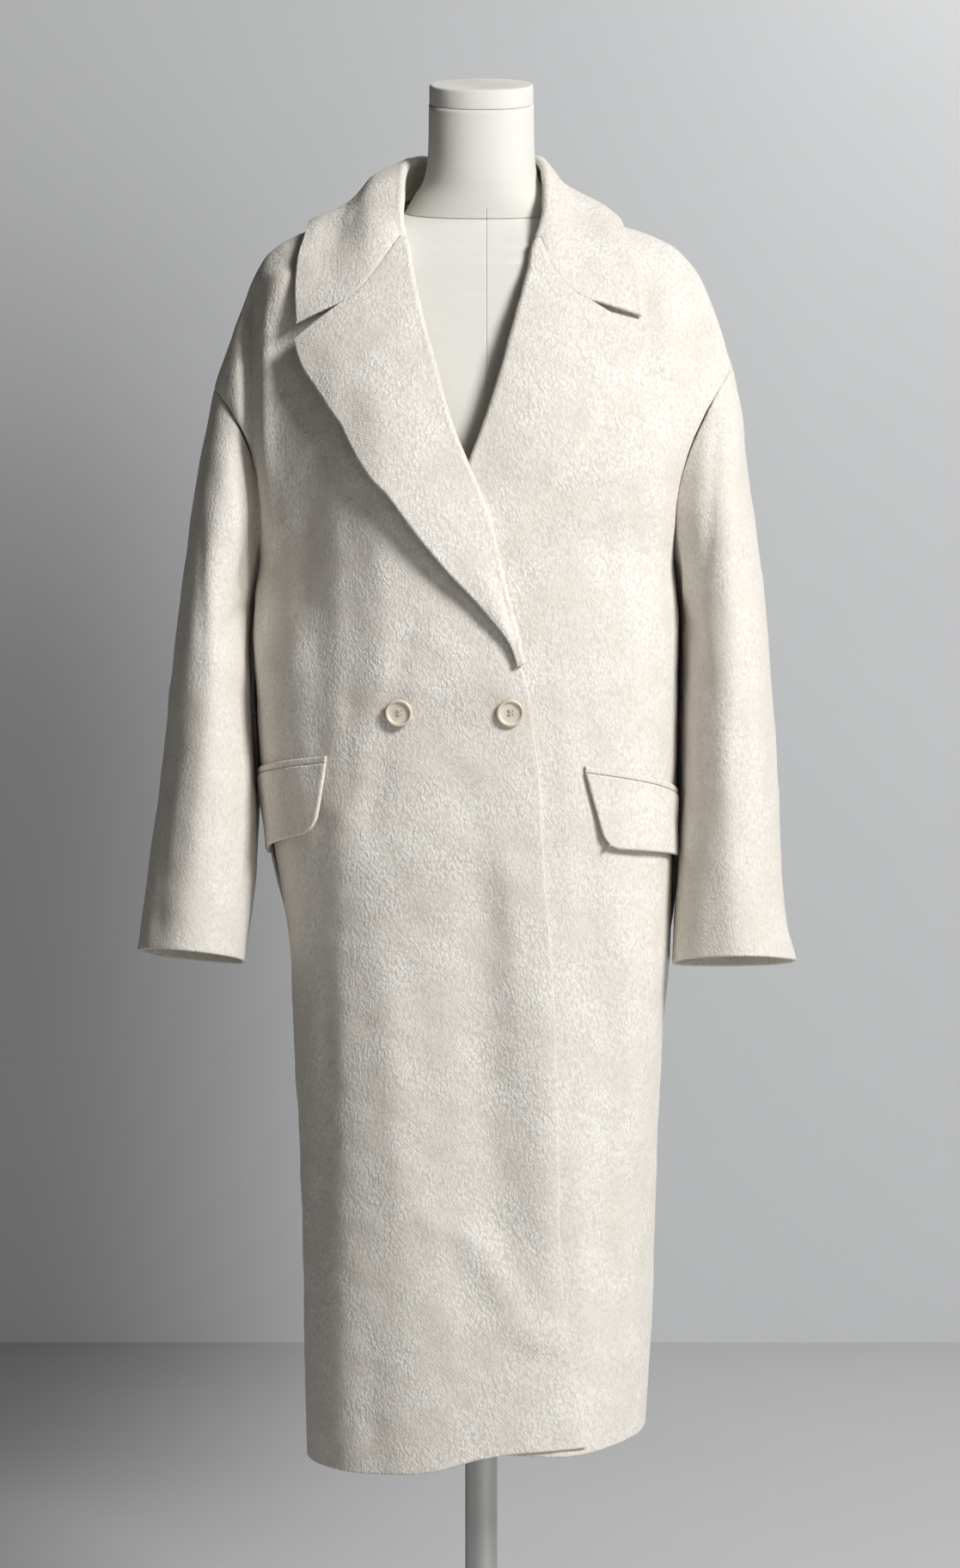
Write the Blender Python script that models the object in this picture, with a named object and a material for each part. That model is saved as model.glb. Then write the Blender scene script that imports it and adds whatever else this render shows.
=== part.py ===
"""A long double-breasted wool coat on a limbless dress form, which stands on a pole and a round base.

Frame: metres, +Z up.  The coat's front faces -Y and +X is the wearer's left.  The origin is the middle of
the base's underside, on the floor.

Every cloth piece is a wall: a grid of points on its outer face, and the same grid moved in by the cloth's
thickness.  The body's grids come from level lines.  Line 0 is the hem, line 1 passes the underarm and
line 2 is the shoulder seam.  A level line is a quarter of a superellipse from the middle of the front, or
of the back, to the side seam or the armhole.  Collar, lapels, flaps, welts and buttons are made from the
fronts' points, moved out.
"""
import math

import bpy
import numpy as np

# ------------------------------------------------------------------------------------ driving sizes
WALL = 0.003                 # one layer of the wool cloth
FACED = 0.004                # collar, lapels and flaps: two layers pressed together
GAP = 0.0003                 # between two pieces at a seam
RIGHT = -1                   # the wearer's right, at -X
LEFT = 1                     # the wearer's left, at +X
WHOLE = 0                    # both sides, for the back
FRONT = -1
BACK = 1

HEM = 0.318                  # line 0 above the floor
UNDERARM = 1.140             # line 1
SIDE_Y = 0.005               # the side and shoulder seams lie just behind the middle
HEM_FADE = 0.500             # the hem's unevenness has died away at this height


def table(columns, *rows):
    """The named columns of a table, from one row of numbers for each section."""
    return dict(zip(columns.split(), np.array(rows, float).T))


# Half widths, depths and squareness of the level lines between hem and underarm.
SKIRT = table("height right left front back square",
              (0.318, 0.1615, 0.1520, 0.135, 0.148, 2.9),
              (0.400, 0.1640, 0.1570, 0.135, 0.148, 2.9),
              (0.500, 0.1655, 0.1605, 0.135, 0.149, 2.8),
              (0.600, 0.1690, 0.1635, 0.135, 0.150, 2.8),
              (0.700, 0.1745, 0.1685, 0.136, 0.150, 2.8),
              (0.780, 0.1780, 0.1755, 0.137, 0.150, 2.7),
              (0.860, 0.1900, 0.1770, 0.138, 0.149, 2.7),
              (0.940, 0.2040, 0.1808, 0.138, 0.148, 2.6),
              (1.020, 0.2090, 0.1823, 0.137, 0.146, 2.6),
              (1.100, 0.2095, 0.1822, 0.135, 0.145, 2.5),
              (1.140, 0.2040, 0.1780, 0.134, 0.145, 2.4))

# Level lines above the underarm.  turn: where on the armhole the line ends, 1 at the underarm and 0 at
# the top; neck: how far the back's line bows out round the neck.
YOKE = table("turn height front back square neck",
             (0.00, 1.500, 0.000, 0.000, 2.0, 0.060),
             (0.06, 1.495, 0.018, 0.022, 2.0, 0.046),
             (0.15, 1.470, 0.045, 0.060, 2.0, 0.016),
             (0.25, 1.420, 0.076, 0.108, 2.1, 0.000),
             (0.36, 1.340, 0.106, 0.134, 2.2, 0.000),
             (0.50, 1.250, 0.127, 0.143, 2.3, 0.000),
             (0.70, 1.190, 0.132, 0.145, 2.4, 0.000),
             (1.00, 1.140, 0.134, 0.145, 2.4, 0.000))
# The fall of each line above the underarm, from its middle to its end: shares of it on each side.
SHOULDER = table("share right left",
                 (0.00, 0.000, 0.000), (0.30, 0.125, 0.150), (0.50, 0.210, 0.250), (0.60, 0.253, 0.291),
                 (0.70, 0.300, 0.342), (0.76, 0.340, 0.378), (0.81, 0.400, 0.437), (0.86, 0.512, 0.521),
                 (0.90, 0.643, 0.628), (0.94, 0.788, 0.768), (0.97, 0.892, 0.892), (1.00, 1.000, 1.000))

# Armholes: the top end of the seam, the underarm, and how far front and back are drawn in.
ARMHOLE = {RIGHT: dict(top_x=0.249, top_z=1.298, under_x=0.204, inset=0.020),
           LEFT: dict(top_x=0.235, top_z=1.316, under_x=0.178, inset=0.018)}
ARMHOLE_DEPTH = {FRONT: 0.062, BACK: 0.080}

NECK_X = -0.008              # middle of the neckline
NECK_HALF = 0.0865           # half its width at the shoulder seams

# The line where each front ends, as it shows: the front edge, from 'breaks' up the roll of the lapel,
# and above the gorge the neckline.
BREAK = {RIGHT: 1.036, LEFT: 1.040}
GORGE = {RIGHT: 1.428, LEFT: 1.4264}
FRONT_LINE = {
    RIGHT: table("height x",
                 (0.300, 0.0965), (0.333, 0.0941), (0.394, 0.0833), (0.465, 0.0732), (0.606, 0.0694),
                 (0.754, 0.0648), (0.862, 0.0563), (0.926, 0.0535), (0.999, 0.0439), (1.052, 0.0362),
                 (1.107, 0.0224), (1.171, 0.0069), (1.245, -0.0232), (1.315, -0.0426), (1.385, -0.0595),
                 (1.428, -0.0680), (1.447, -0.0790), (1.460, -0.0860), (1.468, -0.0893), (1.510, -0.0893)),
    LEFT: table("height x",
                (0.300, -0.1000), (0.606, -0.1000), (0.862, -0.0960), (0.999, -0.0900), (1.040, -0.0750),
                (1.130, -0.0425), (1.218, -0.0116), (1.277, 0.0093), (1.356, 0.0310), (1.397, 0.0414),
                (1.426, 0.0478), (1.447, 0.0600), (1.462, 0.0690), (1.474, 0.0733), (1.510, 0.0733))}

# Height of the hem along each front, and from side to side of the back.
HEM_LINE = {
    RIGHT: table("x height",
                 (-0.160, 0.310), (-0.090, 0.3085), (-0.045, 0.312), (0.000, 0.324), (0.100, 0.333)),
    LEFT: table("x height",
                (-0.130, 0.326), (0.040, 0.3262), (0.075, 0.3243), (0.115, 0.3290), (0.155, 0.340)),
    WHOLE: table("x height",
                 (-0.160, 0.310), (-0.060, 0.305), (0.060, 0.318), (0.155, 0.340))}

# How far the right front lies out over the left one, and over the left lapel.
OVER_FRONT = 0.0044
OVER_LAPEL = 0.0066

# The largest folds, as ridges (height above 0) or troughs: upper and lower end, half width, height.
FOLDS = {
    FRONT: table("top_x top_z low_x low_z width height",
                 (-0.186, 1.410, -0.194, 1.330, 0.014, 0.0050),
                 (-0.020, 0.640, 0.062, 0.440, 0.034, 0.0060),
                 (-0.128, 0.960, -0.118, 0.300, 0.030, 0.0050),
                 (-0.060, 0.880, -0.010, 0.420, 0.045, -0.0045),
                 (0.168, 1.390, 0.176, 1.290, 0.016, 0.0045),
                 (0.142, 1.180, 0.132, 0.560, 0.026, 0.0040),
                 (0.118, 0.800, 0.112, 0.300, 0.018, -0.0040)),
    BACK: table("top_x top_z low_x low_z width height",
                (-0.105, 1.250, -0.120, 0.300, 0.034, 0.0080),
                (0.000, 1.120, -0.012, 0.300, 0.048, -0.0085),
                (0.090, 1.230, 0.108, 0.300, 0.034, 0.0080),
                (-0.055, 0.760, -0.062, 0.300, 0.022, -0.0050),
                (0.052, 0.700, 0.055, 0.300, 0.022, -0.0050))}
FOLD_END = 0.18              # share of a fold's length over which each end fades

# Lapels and collar.
ROLL = 0.0050                # radius of the outer face where a lapel or the collar turns over
ROLL_REACH = 0.02            # the roll's direction is taken over this height
ROLL_CLEAR = 0.0007          # between a front's end and the roll
EDGE_CLEAR = {RIGHT: 0.0028, LEFT: 0.0026}        # under a lapel's free edge
LAPEL_EDGE = {
    RIGHT: table("x height",
                 (0.0315, 1.0340), (0.0262, 1.0500), (0.0023, 1.0830), (-0.0346, 1.1240),
                 (-0.0685, 1.1686), (-0.0963, 1.2070), (-0.1163, 1.2390), (-0.1380, 1.2743),
                 (-0.1610, 1.3070), (-0.1700, 1.3330)),
    LEFT: table("x height",
                (-0.0655, 1.0330), (-0.0260, 1.0900), (0.0139, 1.1370), (0.0556, 1.1880),
                (0.0858, 1.2307), (0.1224, 1.2900), (0.1525, 1.3340))}
# The gorge seam from the roll line (share 0) to the notch, and on to the lapel's peak.
GORGE_SEAM = {
    RIGHT: table("share x height",
                 (0.00, -0.0732, 1.4280), (0.29, -0.0942, 1.3960), (0.47, -0.1100, 1.3760),
                 (0.61, -0.1259, 1.3650), (1.00, -0.1700, 1.3330)),
    LEFT: table("share x height",
                (0.00, 0.0530, 1.4264), (0.29, 0.0661, 1.3950), (0.47, 0.0839, 1.3745),
                (0.61, 0.0995, 1.3667), (1.00, 0.1525, 1.3340))}
COLLAR_TIP = {RIGHT: (-0.1676, 1.3475), LEFT: (0.1460, 1.3540)}
FLAT_SHARES = np.array([0.0, 0.145, 0.29, 0.47, 0.61, 0.74, 0.87, 1.0])

# Half of the collar, from the gorge (way 0) over the shoulder (0.5) to the middle of the back (1).
# fold: its top edge, x measured from the collar's middle; the outer edge's x and height on each side.
COLLAR_X = -0.007
COLLAR_TILT = 0.015          # the collar sits a little higher on the wearer's left
COLLAR = table("way fold_x fold_y fold_z right_x right_z left_x left_z",
               (0.00, 0.0580, -0.066, 1.428, 0.1700, 1.352, 0.1455, 1.357),
               (0.12, 0.0670, -0.055, 1.455, 0.1695, 1.382, 0.1420, 1.384),
               (0.25, 0.0695, -0.038, 1.479, 0.1665, 1.408, 0.1380, 1.410),
               (0.38, 0.0695, -0.018, 1.499, 0.1620, 1.428, 0.1315, 1.434),
               (0.50, 0.0675, 0.004, 1.510, 0.1555, 1.445, 0.1255, 1.4480),
               (0.62, 0.0615, 0.030, 1.517, 0.1450, 1.442, 0.1165, 1.447),
               (0.75, 0.0470, 0.052, 1.520, 0.1180, 1.438, 0.0960, 1.442),
               (0.88, 0.0250, 0.066, 1.522, 0.0660, 1.434, 0.0500, 1.436),
               (1.00, 0.0000, 0.071, 1.523, 0.0100, 1.432, -0.0100, 1.432))
COLLAR_LIFT = 0.0050         # of its outer edge over the shoulders and the back
# The fall's crown above a straight line from fold to edge, by share, on each side and behind.
CROWN = table("right left back",
              (0.0, 0.0, 0.0), (0.003, -0.003, 0.002), (0.004, -0.006, 0.004), (-0.001, -0.005, 0.005),
              (-0.004, -0.003, 0.004), (-0.003, -0.001, 0.003), (-0.001, 0.0, 0.001), (0.0, 0.0, 0.0))
STAND_LEAN = 0.050           # in front of the shoulder seam by this, the cloth slopes at 45 degrees
COLLAR_CLEAR = 0.0010        # between the stand and the neckline's edge
COLLAR_NEAR = 0.30           # this share of the collar takes over the lapel's form

# Sleeves, ring by ring from the armhole to the cuff: outer and inner side as they show from the front,
# front and back, and how far front and back are drawn in towards the body.
SLEEVE = {
    RIGHT: table("outer_x outer_z inner_x inner_z front back inset",
                 (0.2490, 1.298, 0.2040, 1.140, -0.057, 0.085, 0.020),
                 (0.2575, 1.255, 0.2090, 1.122, -0.072, 0.092, 0.010),
                 (0.2672, 1.200, 0.2128, 1.102, -0.080, 0.094, 0.004),
                 (0.2736, 1.150, 0.2145, 1.080, -0.084, 0.090, 0.0),
                 (0.2803, 1.095, 0.2148, 1.050, -0.087, 0.083, 0.0),
                 (0.2893, 1.010, 0.2128, 0.985, -0.092, 0.070, 0.0),
                 (0.2975, 0.930, 0.2085, 0.915, -0.096, 0.056, 0.0),
                 (0.3075, 0.850, 0.2105, 0.840, -0.100, 0.038, 0.0),
                 (0.3170, 0.776, 0.2185, 0.767, -0.104, 0.020, 0.0)),
    LEFT: table("outer_x outer_z inner_x inner_z front back inset",
                (0.2350, 1.316, 0.1780, 1.140, -0.057, 0.085, 0.018),
                (0.2430, 1.275, 0.1822, 1.122, -0.072, 0.092, 0.009),
                (0.2490, 1.215, 0.1852, 1.102, -0.080, 0.094, 0.004),
                (0.2560, 1.160, 0.1866, 1.080, -0.084, 0.090, 0.0),
                (0.2640, 1.095, 0.1868, 1.050, -0.087, 0.083, 0.0),
                (0.2700, 1.010, 0.1862, 0.985, -0.092, 0.070, 0.0),
                (0.2745, 0.930, 0.1848, 0.915, -0.096, 0.056, 0.0),
                (0.2768, 0.860, 0.1815, 0.850, -0.100, 0.040, 0.0),
                (0.2795, 0.811, 0.1780, 0.806, -0.102, 0.029, 0.0),
                (0.2900, 0.767, 0.1760, 0.766, -0.104, 0.020, 0.0))}
ARMHOLE_GAP = 0.0007
CUFF_TILT = 0.12             # the back of the cuff hangs lower than the front

# Pocket flaps: front top corner, length round the body, depth, slopes and flare.
# reach: the angle of the flap's rear edge, round from the middle of the front.
FLAP = {RIGHT: dict(x=-0.1385, top=0.9490, depth=0.062, top_slope=0.10, low_slope=0.16, lean=0.006,
                    flare=0.006, reach=math.radians(86)),
        LEFT: dict(x=0.0925, top=0.9400, depth=0.068, top_slope=0.16, low_slope=0.06, lean=0.018,
                   flare=0.004, reach=math.radians(74))}
FLAP_LENGTH = 0.125
FLAP_COLUMNS = 11
FLAP_CORNER = 0.014
FLAP_CLEAR = 0.0008
WELT_HEIGHT = 0.0060
WELT_THICK = 0.0030

# Buttons, on the right front.
BUTTON_X = (-0.0736, 0.0258)
BUTTON_HEIGHT = 0.9940
BUTTON_RADIUS = 0.0125
BUTTON_THICK = 0.0040
BUTTON_CLEAR = 0.0009
BUTTON_HOLE = 0.0010
BUTTON_HOLE_SPACING = 0.0017

# The dress form, its neck and its stand.
SEAT = 0.0008                # between the form's shoulders and the cloth that rests on them
FORM = table("height half front back",
             (0.770, 0.120, 0.070, 0.085),
             (0.776, 0.138, 0.084, 0.100),
             (0.795, 0.150, 0.093, 0.110),
             (0.850, 0.156, 0.097, 0.113),
             (0.920, 0.154, 0.096, 0.108),
             (0.990, 0.140, 0.090, 0.096),
             (1.050, 0.130, 0.089, 0.089),
             (1.110, 0.132, 0.096, 0.090),
             (1.170, 0.140, 0.106, 0.094),
             (1.220, 0.148, 0.109, 0.098),
             (1.270, 0.158, 0.103, 0.101),
             (1.320, 0.168, 0.090, 0.100),
             (1.365, 0.176, 0.080, 0.093),
             (1.395, 0.178, 0.074, 0.082),
             (1.412, 0.176, 0.070, 0.075),
             (1.425, 0.172, 0.062, 0.068))
# The shoulders rise under the cloth to the foot of the neck; from 'bare' inwards they are clear of it.
FORM_SHOULDER = table("half front back",
                      (0.166, 0.060, 0.066), (0.150, 0.057, 0.062), (0.135, 0.053, 0.058),
                      (0.120, 0.050, 0.055), (0.108, 0.047, 0.053))
FORM_BARE = table("half front back height",
                  (0.094, 0.044, 0.049, 1.4565), (0.083, 0.043, 0.047, 1.4590), (0.072, 0.042, 0.045, 1.4615))
FORM_NECK = table("height half front back",
                  (1.4618, 0.0715, 0.0420, 0.0450),
                  (1.4770, 0.0625, 0.0450, 0.0480),
                  (1.4900, 0.0545, 0.0470, 0.0490),
                  (1.5020, 0.0512, 0.0485, 0.0492),
                  (1.5200, 0.0495, 0.0490, 0.0490),
                  (1.5628, 0.0488, 0.0488, 0.0488))
FORM_SQUARE = 2.2
CAP_TOP = 1.5815
CAP_RADIUS = 0.0484
CAP_ROUND = 0.0025
NECK_SLOPE = math.tan(math.radians(15.8))         # the top of the neck slopes down to the front
POLE_RADIUS = 0.015
BASE_RADIUS = 0.190
BASE_THICK = 0.014
BASE_ROUND = 0.004

# Grid counts.
SKIRT_LINES = 17
YOKE_LINES = 11
FRONT_COLUMNS = 18
SEAM_SHARES = np.array([0.0, 0.045, 0.105, 0.18, 0.27, 0.39, 0.55, 0.77])     # along a shoulder seam
NECK_COLUMNS = 7             # to each side of the middle of the back
YOKE_TURNS = np.linspace(0, 1, YOKE_LINES + 1) ** 1.4
GORGE_HOLD = 5               # power with which the gorge's bend dies away down the lapel
LAPEL_ROOM = 0.006           # no line of a lapel lies closer than this to its ends
FLAP_LINES = 6
ROLL_STEPS = 6
STAND_STEPS = 2
COLLAR_WAYS = 2 * NECK_COLUMNS + 1
SLEEVE_RINGS = 15
FORM_COLUMNS = 32
SLIGHT = 0.002               # slopes of a surface are taken over twice this
HALVINGS = 40                # steps of each search by halving


# ------------------------------------------------------------------------------------ curve helpers
def smooth(at, knots, values):
    """Cubic curve through a table's rows, each row's slope taken from its two neighbours."""
    slopes = np.gradient(values, knots)
    i = np.clip(np.searchsorted(knots, at, side="right") - 1, 0, len(knots) - 2)
    span = knots[i + 1] - knots[i]
    t = np.clip((at - knots[i]) / span, 0, 1)
    return (values[i] * (1 + 2 * t) * (1 - t) ** 2 + slopes[i] * span * t * (1 - t) ** 2
            + values[i + 1] * t * t * (3 - 2 * t) + slopes[i + 1] * span * t * t * (t - 1))


def ease(value, low, high):
    """0 below low, 1 above high and an S curve between."""
    t = np.clip((value - low) / (high - low), 0, 1)
    return t * t * (3 - 2 * t)


def unit(vectors):
    """The vectors at length 1."""
    return vectors / np.linalg.norm(vectors, axis=-1, keepdims=True)


def points(*coordinates):
    """One array of points from arrays of x, y and z."""
    return np.stack(np.broadcast_arrays(*coordinates), axis=-1)


def by_length(curve, x, share):
    """The point at a share of a tabled curve's length; returns x and height."""
    steps = np.hypot(np.diff(curve[x]), np.diff(curve["height"]))
    along = np.concatenate(([0.0], np.cumsum(steps))) / steps.sum()
    return smooth(share, along, curve[x]), smooth(share, along, curve["height"])


def grid_normals(grid, around=False):
    """Outward unit normals of a grid whose columns run anticlockwise and rows upward, seen from outside."""
    if around:
        across = np.roll(grid, -1, axis=1) - np.roll(grid, 1, axis=1)
    else:
        across = np.gradient(grid, axis=1)
    return unit(np.cross(across, np.gradient(grid, axis=0)))


# ------------------------------------------------------------------------------------ the body's surface
def level(line):
    """Sizes of a level line: 0 is the hem, 1 the underarm and 2 the shoulder seam."""
    low = HEM + (UNDERARM - HEM) * np.clip(line, 0, 1)
    turn = np.clip(2 - line, 0, 1)
    size = {name: np.where(line > 1, smooth(turn, YOKE["turn"], YOKE[name]),
                           smooth(low, SKIRT["height"], SKIRT[name]))
            for name in ("front", "back", "square")}
    size["height"] = np.where(line > 1, smooth(turn, YOKE["turn"], YOKE["height"]), low)
    size["neck"] = np.where(line > 1, smooth(turn, YOKE["turn"], YOKE["neck"]), 0)
    size[RIGHT] = smooth(low, SKIRT["height"], SKIRT["right"])
    size[LEFT] = smooth(low, SKIRT["height"], SKIRT["left"])
    return size


def armhole(side, turn, face):
    """A point of the armhole: half an ellipse from its top (turn 0) to the underarm (turn 1)."""
    hole = ARMHOLE[side]
    cosine, sine = np.cos(math.pi * turn), np.sin(math.pi * turn)
    x = (hole["top_x"] * (1 + cosine) + hole["under_x"] * (1 - cosine)) / 2 - hole["inset"] * sine ** 2
    z = (hole["top_z"] * (1 + cosine) + UNDERARM * (1 - cosine)) / 2
    return side * x, SIDE_Y + face * ARMHOLE_DEPTH[face] * sine, z


def line_end(side, line, face):
    """Where a level line ends: on the side seam, or above the underarm on the armhole."""
    size = level(line)
    arm_x, arm_y, arm_z = armhole(side, np.clip(2 - line, 0, 1), face)
    above = line > 1
    return (np.where(above, arm_x, side * size[side]), np.where(above, arm_y, SIDE_Y),
            np.where(above, arm_z, size["height"]))


def shell(line, across, face):
    """A point of the body: across is the share of the half width, from -1 (right) to 1 (left)."""
    size = level(line)
    right_end, left_end = (line_end(side, line, face) for side in (RIGHT, LEFT))
    end_x, end_y, end_z = (np.where(across < 0, r, l) for r, l in zip(right_end, left_end))
    share = np.clip(np.abs(across), 0, 1)
    inward = (1 - share ** size["square"]) ** (1 / size["square"])
    depth = size["front"] if face == FRONT else size["back"]
    x = np.abs(end_x) * across
    y = end_y + (face * depth - end_y) * inward
    fall = np.where(across < 0, smooth(share, SHOULDER["share"], SHOULDER["right"]),
                    smooth(share, SHOULDER["share"], SHOULDER["left"]))
    z = size["height"] + (end_z - size["height"]) * fall
    if face == BACK:
        bow = np.sqrt(np.clip(1 - ((x - NECK_X) / NECK_HALF) ** 2, 0, 1))
        y = y + size["neck"] * bow
    return x, y, z


def search(low, high, too_far):
    """The value between low and high where too_far turns true, found by halving."""
    for _ in range(HALVINGS):
        middle = (low + high) / 2
        far = too_far(middle)
        low, high = np.where(far, low, middle), np.where(far, middle, high)
    return low


def at_x(line, x, face):
    """The point of a level line at x."""
    right, left = (np.abs(line_end(side, line, face)[0]) for side in (RIGHT, LEFT))
    return shell(line, x / np.where(x < 0, right, left), face)


def body_point(face, x, z):
    """A point of the body's surface at x and z, in front or behind."""
    shape = np.shape(x + z)
    line = search(np.zeros(shape), np.full(shape, 2.0), lambda line: at_x(line, x, face)[2] > z)
    return points(x, at_x(line, x, face)[1], z)


def front_line(side, z):
    """x of a front's end; the roll's own radius lies beyond it, so the line that shows is further out."""
    rolled = ease(z, BREAK[side] - 0.02, BREAK[side] + 0.01)
    return smooth(z, FRONT_LINE[side]["height"], FRONT_LINE[side]["x"]) + side * rolled * (ROLL + GAP)


def folds(face, x, z):
    """Sum of the folds: a bell curve across each one, faded at its ends above the hem."""
    total = np.zeros(np.shape(x))
    for top_x, top_z, low_x, low_z, width, height in zip(*FOLDS[face].values()):
        along = (z - low_z) / (top_z - low_z)
        middle = low_x + (top_x - low_x) * along
        low_fade = np.where(low_z > HEM, ease(along, 0, FOLD_END), 1)
        fade = low_fade * ease(1 - along, 0, FOLD_END)
        total = total + height * np.exp(-((x - middle) / width) ** 2) * fade
    return total


def layer(side, x, z):
    """How far a front stands out where it covers the other front and its lapel."""
    if side != RIGHT:
        return np.zeros(np.shape(x))
    over_front = OVER_FRONT * ease(x, -0.152, -0.124) * (1 - ease(z, 1.27, 1.35))
    over_lapel = OVER_LAPEL * ease(x, -0.125, -0.085) * ease(z, 0.975, 1.02) * (1 - ease(z, 1.24, 1.32))
    return over_front + over_lapel


def dressed(side, x, y, z, face):
    """Points of a panel: the body's surface with the layers, the folds and the hem's line."""
    out = folds(face, x, z) + layer(side, x, z)
    rise = smooth(x, HEM_LINE[side]["x"], HEM_LINE[side]["height"]) - HEM
    return points(x, y + face * (out + GAP / 2), z + rise * np.clip((HEM_FADE - z) / (HEM_FADE - HEM), 0, 1))


def front_surface(side, x, z):
    """A front's outer face at x and z, as points."""
    y = body_point(FRONT, x, z)[..., 1]
    return points(x, y - folds(FRONT, x, z) - layer(side, x, z) - GAP / 2, z)


def front_normal(side, x, z):
    """The outward direction of a front's outer face, from its slopes."""
    slope_x = (front_surface(side, x + SLIGHT, z) - front_surface(side, x - SLIGHT, z))[..., 1] / (2 * SLIGHT)
    slope_z = (front_surface(side, x, z + SLIGHT) - front_surface(side, x, z - SLIGHT))[..., 1] / (2 * SLIGHT)
    return unit(points(slope_x, -1.0, slope_z))


# ------------------------------------------------------------------------------------ meshes
def material(name, colour, roughness, metallic=0.0):
    """A plain material with a Principled shader."""
    finish = bpy.data.materials.new(name)
    finish.use_nodes = True
    shader = finish.node_tree.nodes["Principled BSDF"]
    shader.inputs["Base Color"].default_value = (*colour, 1.0)
    shader.inputs["Roughness"].default_value = roughness
    shader.inputs["Metallic"].default_value = metallic
    return finish


def solid(name, vertices, faces, colour_roughness):
    """A named object from vertices and faces, shaded smooth, with its own material."""
    mesh = bpy.data.meshes.new(name)
    mesh.from_pydata(vertices.reshape(-1, 3).tolist(), [], faces)
    mesh.materials.append(material(name, *colour_roughness))
    mesh.shade_smooth()
    mesh.set_sharp_from_angle(angle=math.radians(50))
    thing = bpy.data.objects.new(name, mesh)
    bpy.context.scene.collection.objects.link(thing)
    return thing


def quads(first, second, third, fourth):
    """A list of four-cornered faces from four arrays of vertex numbers."""
    return np.stack((first, second, third, fourth), axis=-1).reshape(-1, 4).tolist()


def wall(name, outer, thickness, look, normals=None, around=False):
    """A closed wall: the outer grid, the same grid moved in along its normals, and the rims between."""
    if normals is None:
        normals = grid_normals(outer, around)
    rows, columns = outer.shape[:2]
    number = np.arange(rows * columns).reshape(rows, columns)
    if around:
        number = np.concatenate((number, number[:, :1]), axis=1)
    inside = number + rows * columns
    faces = quads(number[:-1, :-1], number[:-1, 1:], number[1:, 1:], number[1:, :-1])
    faces += quads(inside[:-1, :-1], inside[1:, :-1], inside[1:, 1:], inside[:-1, 1:])
    faces += quads(inside[0, :-1], inside[0, 1:], number[0, 1:], number[0, :-1])
    faces += quads(number[-1, :-1], number[-1, 1:], inside[-1, 1:], inside[-1, :-1])
    if not around:
        faces += quads(number[:-1, 0], number[1:, 0], inside[1:, 0], inside[:-1, 0])
        faces += quads(inside[:-1, -1], inside[1:, -1], number[1:, -1], number[:-1, -1])
    return solid(name, np.concatenate((outer, outer - normals * thickness)), faces, look)


def stack(name, rings, look):
    """A closed solid from rings of points, lowest first, each anticlockwise seen from above."""
    count, columns = rings.shape[:2]
    number = np.arange(count * columns).reshape(count, columns)
    looped = np.concatenate((number, number[:, :1]), axis=1)
    faces = quads(looped[:-1, :-1], looped[:-1, 1:], looped[1:, 1:], looped[1:, :-1])
    faces += [number[0, ::-1].tolist(), number[-1].tolist()]
    return solid(name, rings, faces, look)


# ------------------------------------------------------------------------------------ looks
CLOTH = ((0.82, 0.78, 0.70), 0.95)
FACING = ((0.84, 0.80, 0.72), 0.95)
BUTTON = ((0.72, 0.66, 0.54), 0.45)
LINEN = ((0.84, 0.83, 0.78), 0.85)
STEEL = ((0.62, 0.62, 0.60), 0.35, 0.6)


# ------------------------------------------------------------------------------------ fronts and back
def body_lines():
    """The level lines of the body's grids: evenly spaced heights below, closer to the shoulder seam above."""
    low = np.linspace(0, 1, SKIRT_LINES)
    return np.concatenate((low, 2 - YOKE_TURNS[-2::-1]))[:, None]


def spread(start, end, columns, square):
    """Shares of the half width at even angles of the superellipse, from one share to another."""
    def angle(share):
        inward = np.clip(1 - np.abs(share) ** square, 0, 1) ** (1 / square)
        return np.arctan2(share, inward)
    turn = angle(start) + (angle(end) - angle(start)) * np.linspace(0, 1, columns)
    sine, cosine = np.sin(turn), np.cos(turn)
    return sine / (np.abs(sine) ** square + np.abs(cosine) ** square) ** (1 / square)


def seam_normals(grid, lines, side_columns):
    """Normals of a panel, kept in the seam's plane along the side seams and the shoulder seams."""
    normals = grid_normals(grid)
    for column in side_columns:
        below = lines[:, 0] <= 1
        normals[below, column, 1] = 0
    normals[-1, :, 1] = 0
    return unit(normals)


def end_share(side, lines):
    """The share of the half width at which each level line meets a front's end."""
    def past_end(across):
        x, _, z = shell(lines, across, FRONT)
        return x > front_line(side, z)
    return search(np.full(lines.shape, -1.0), np.full(lines.shape, 1.0), past_end)


def front_panel(side, name):
    """One front, from its front edge, roll line and neckline to the side seam and the armhole."""
    lines = body_lines()
    start, end = end_share(side, lines), np.full(lines.shape, float(side))
    across = spread(start, end, FRONT_COLUMNS, level(lines)["square"])
    grid = dressed(side, *shell(lines, across, FRONT), FRONT)
    if side == RIGHT:
        grid = grid[:, ::-1]
    side_column = 0 if side == RIGHT else -1
    return wall(name, grid, WALL, CLOTH, seam_normals(grid, lines, [side_column]))


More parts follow.
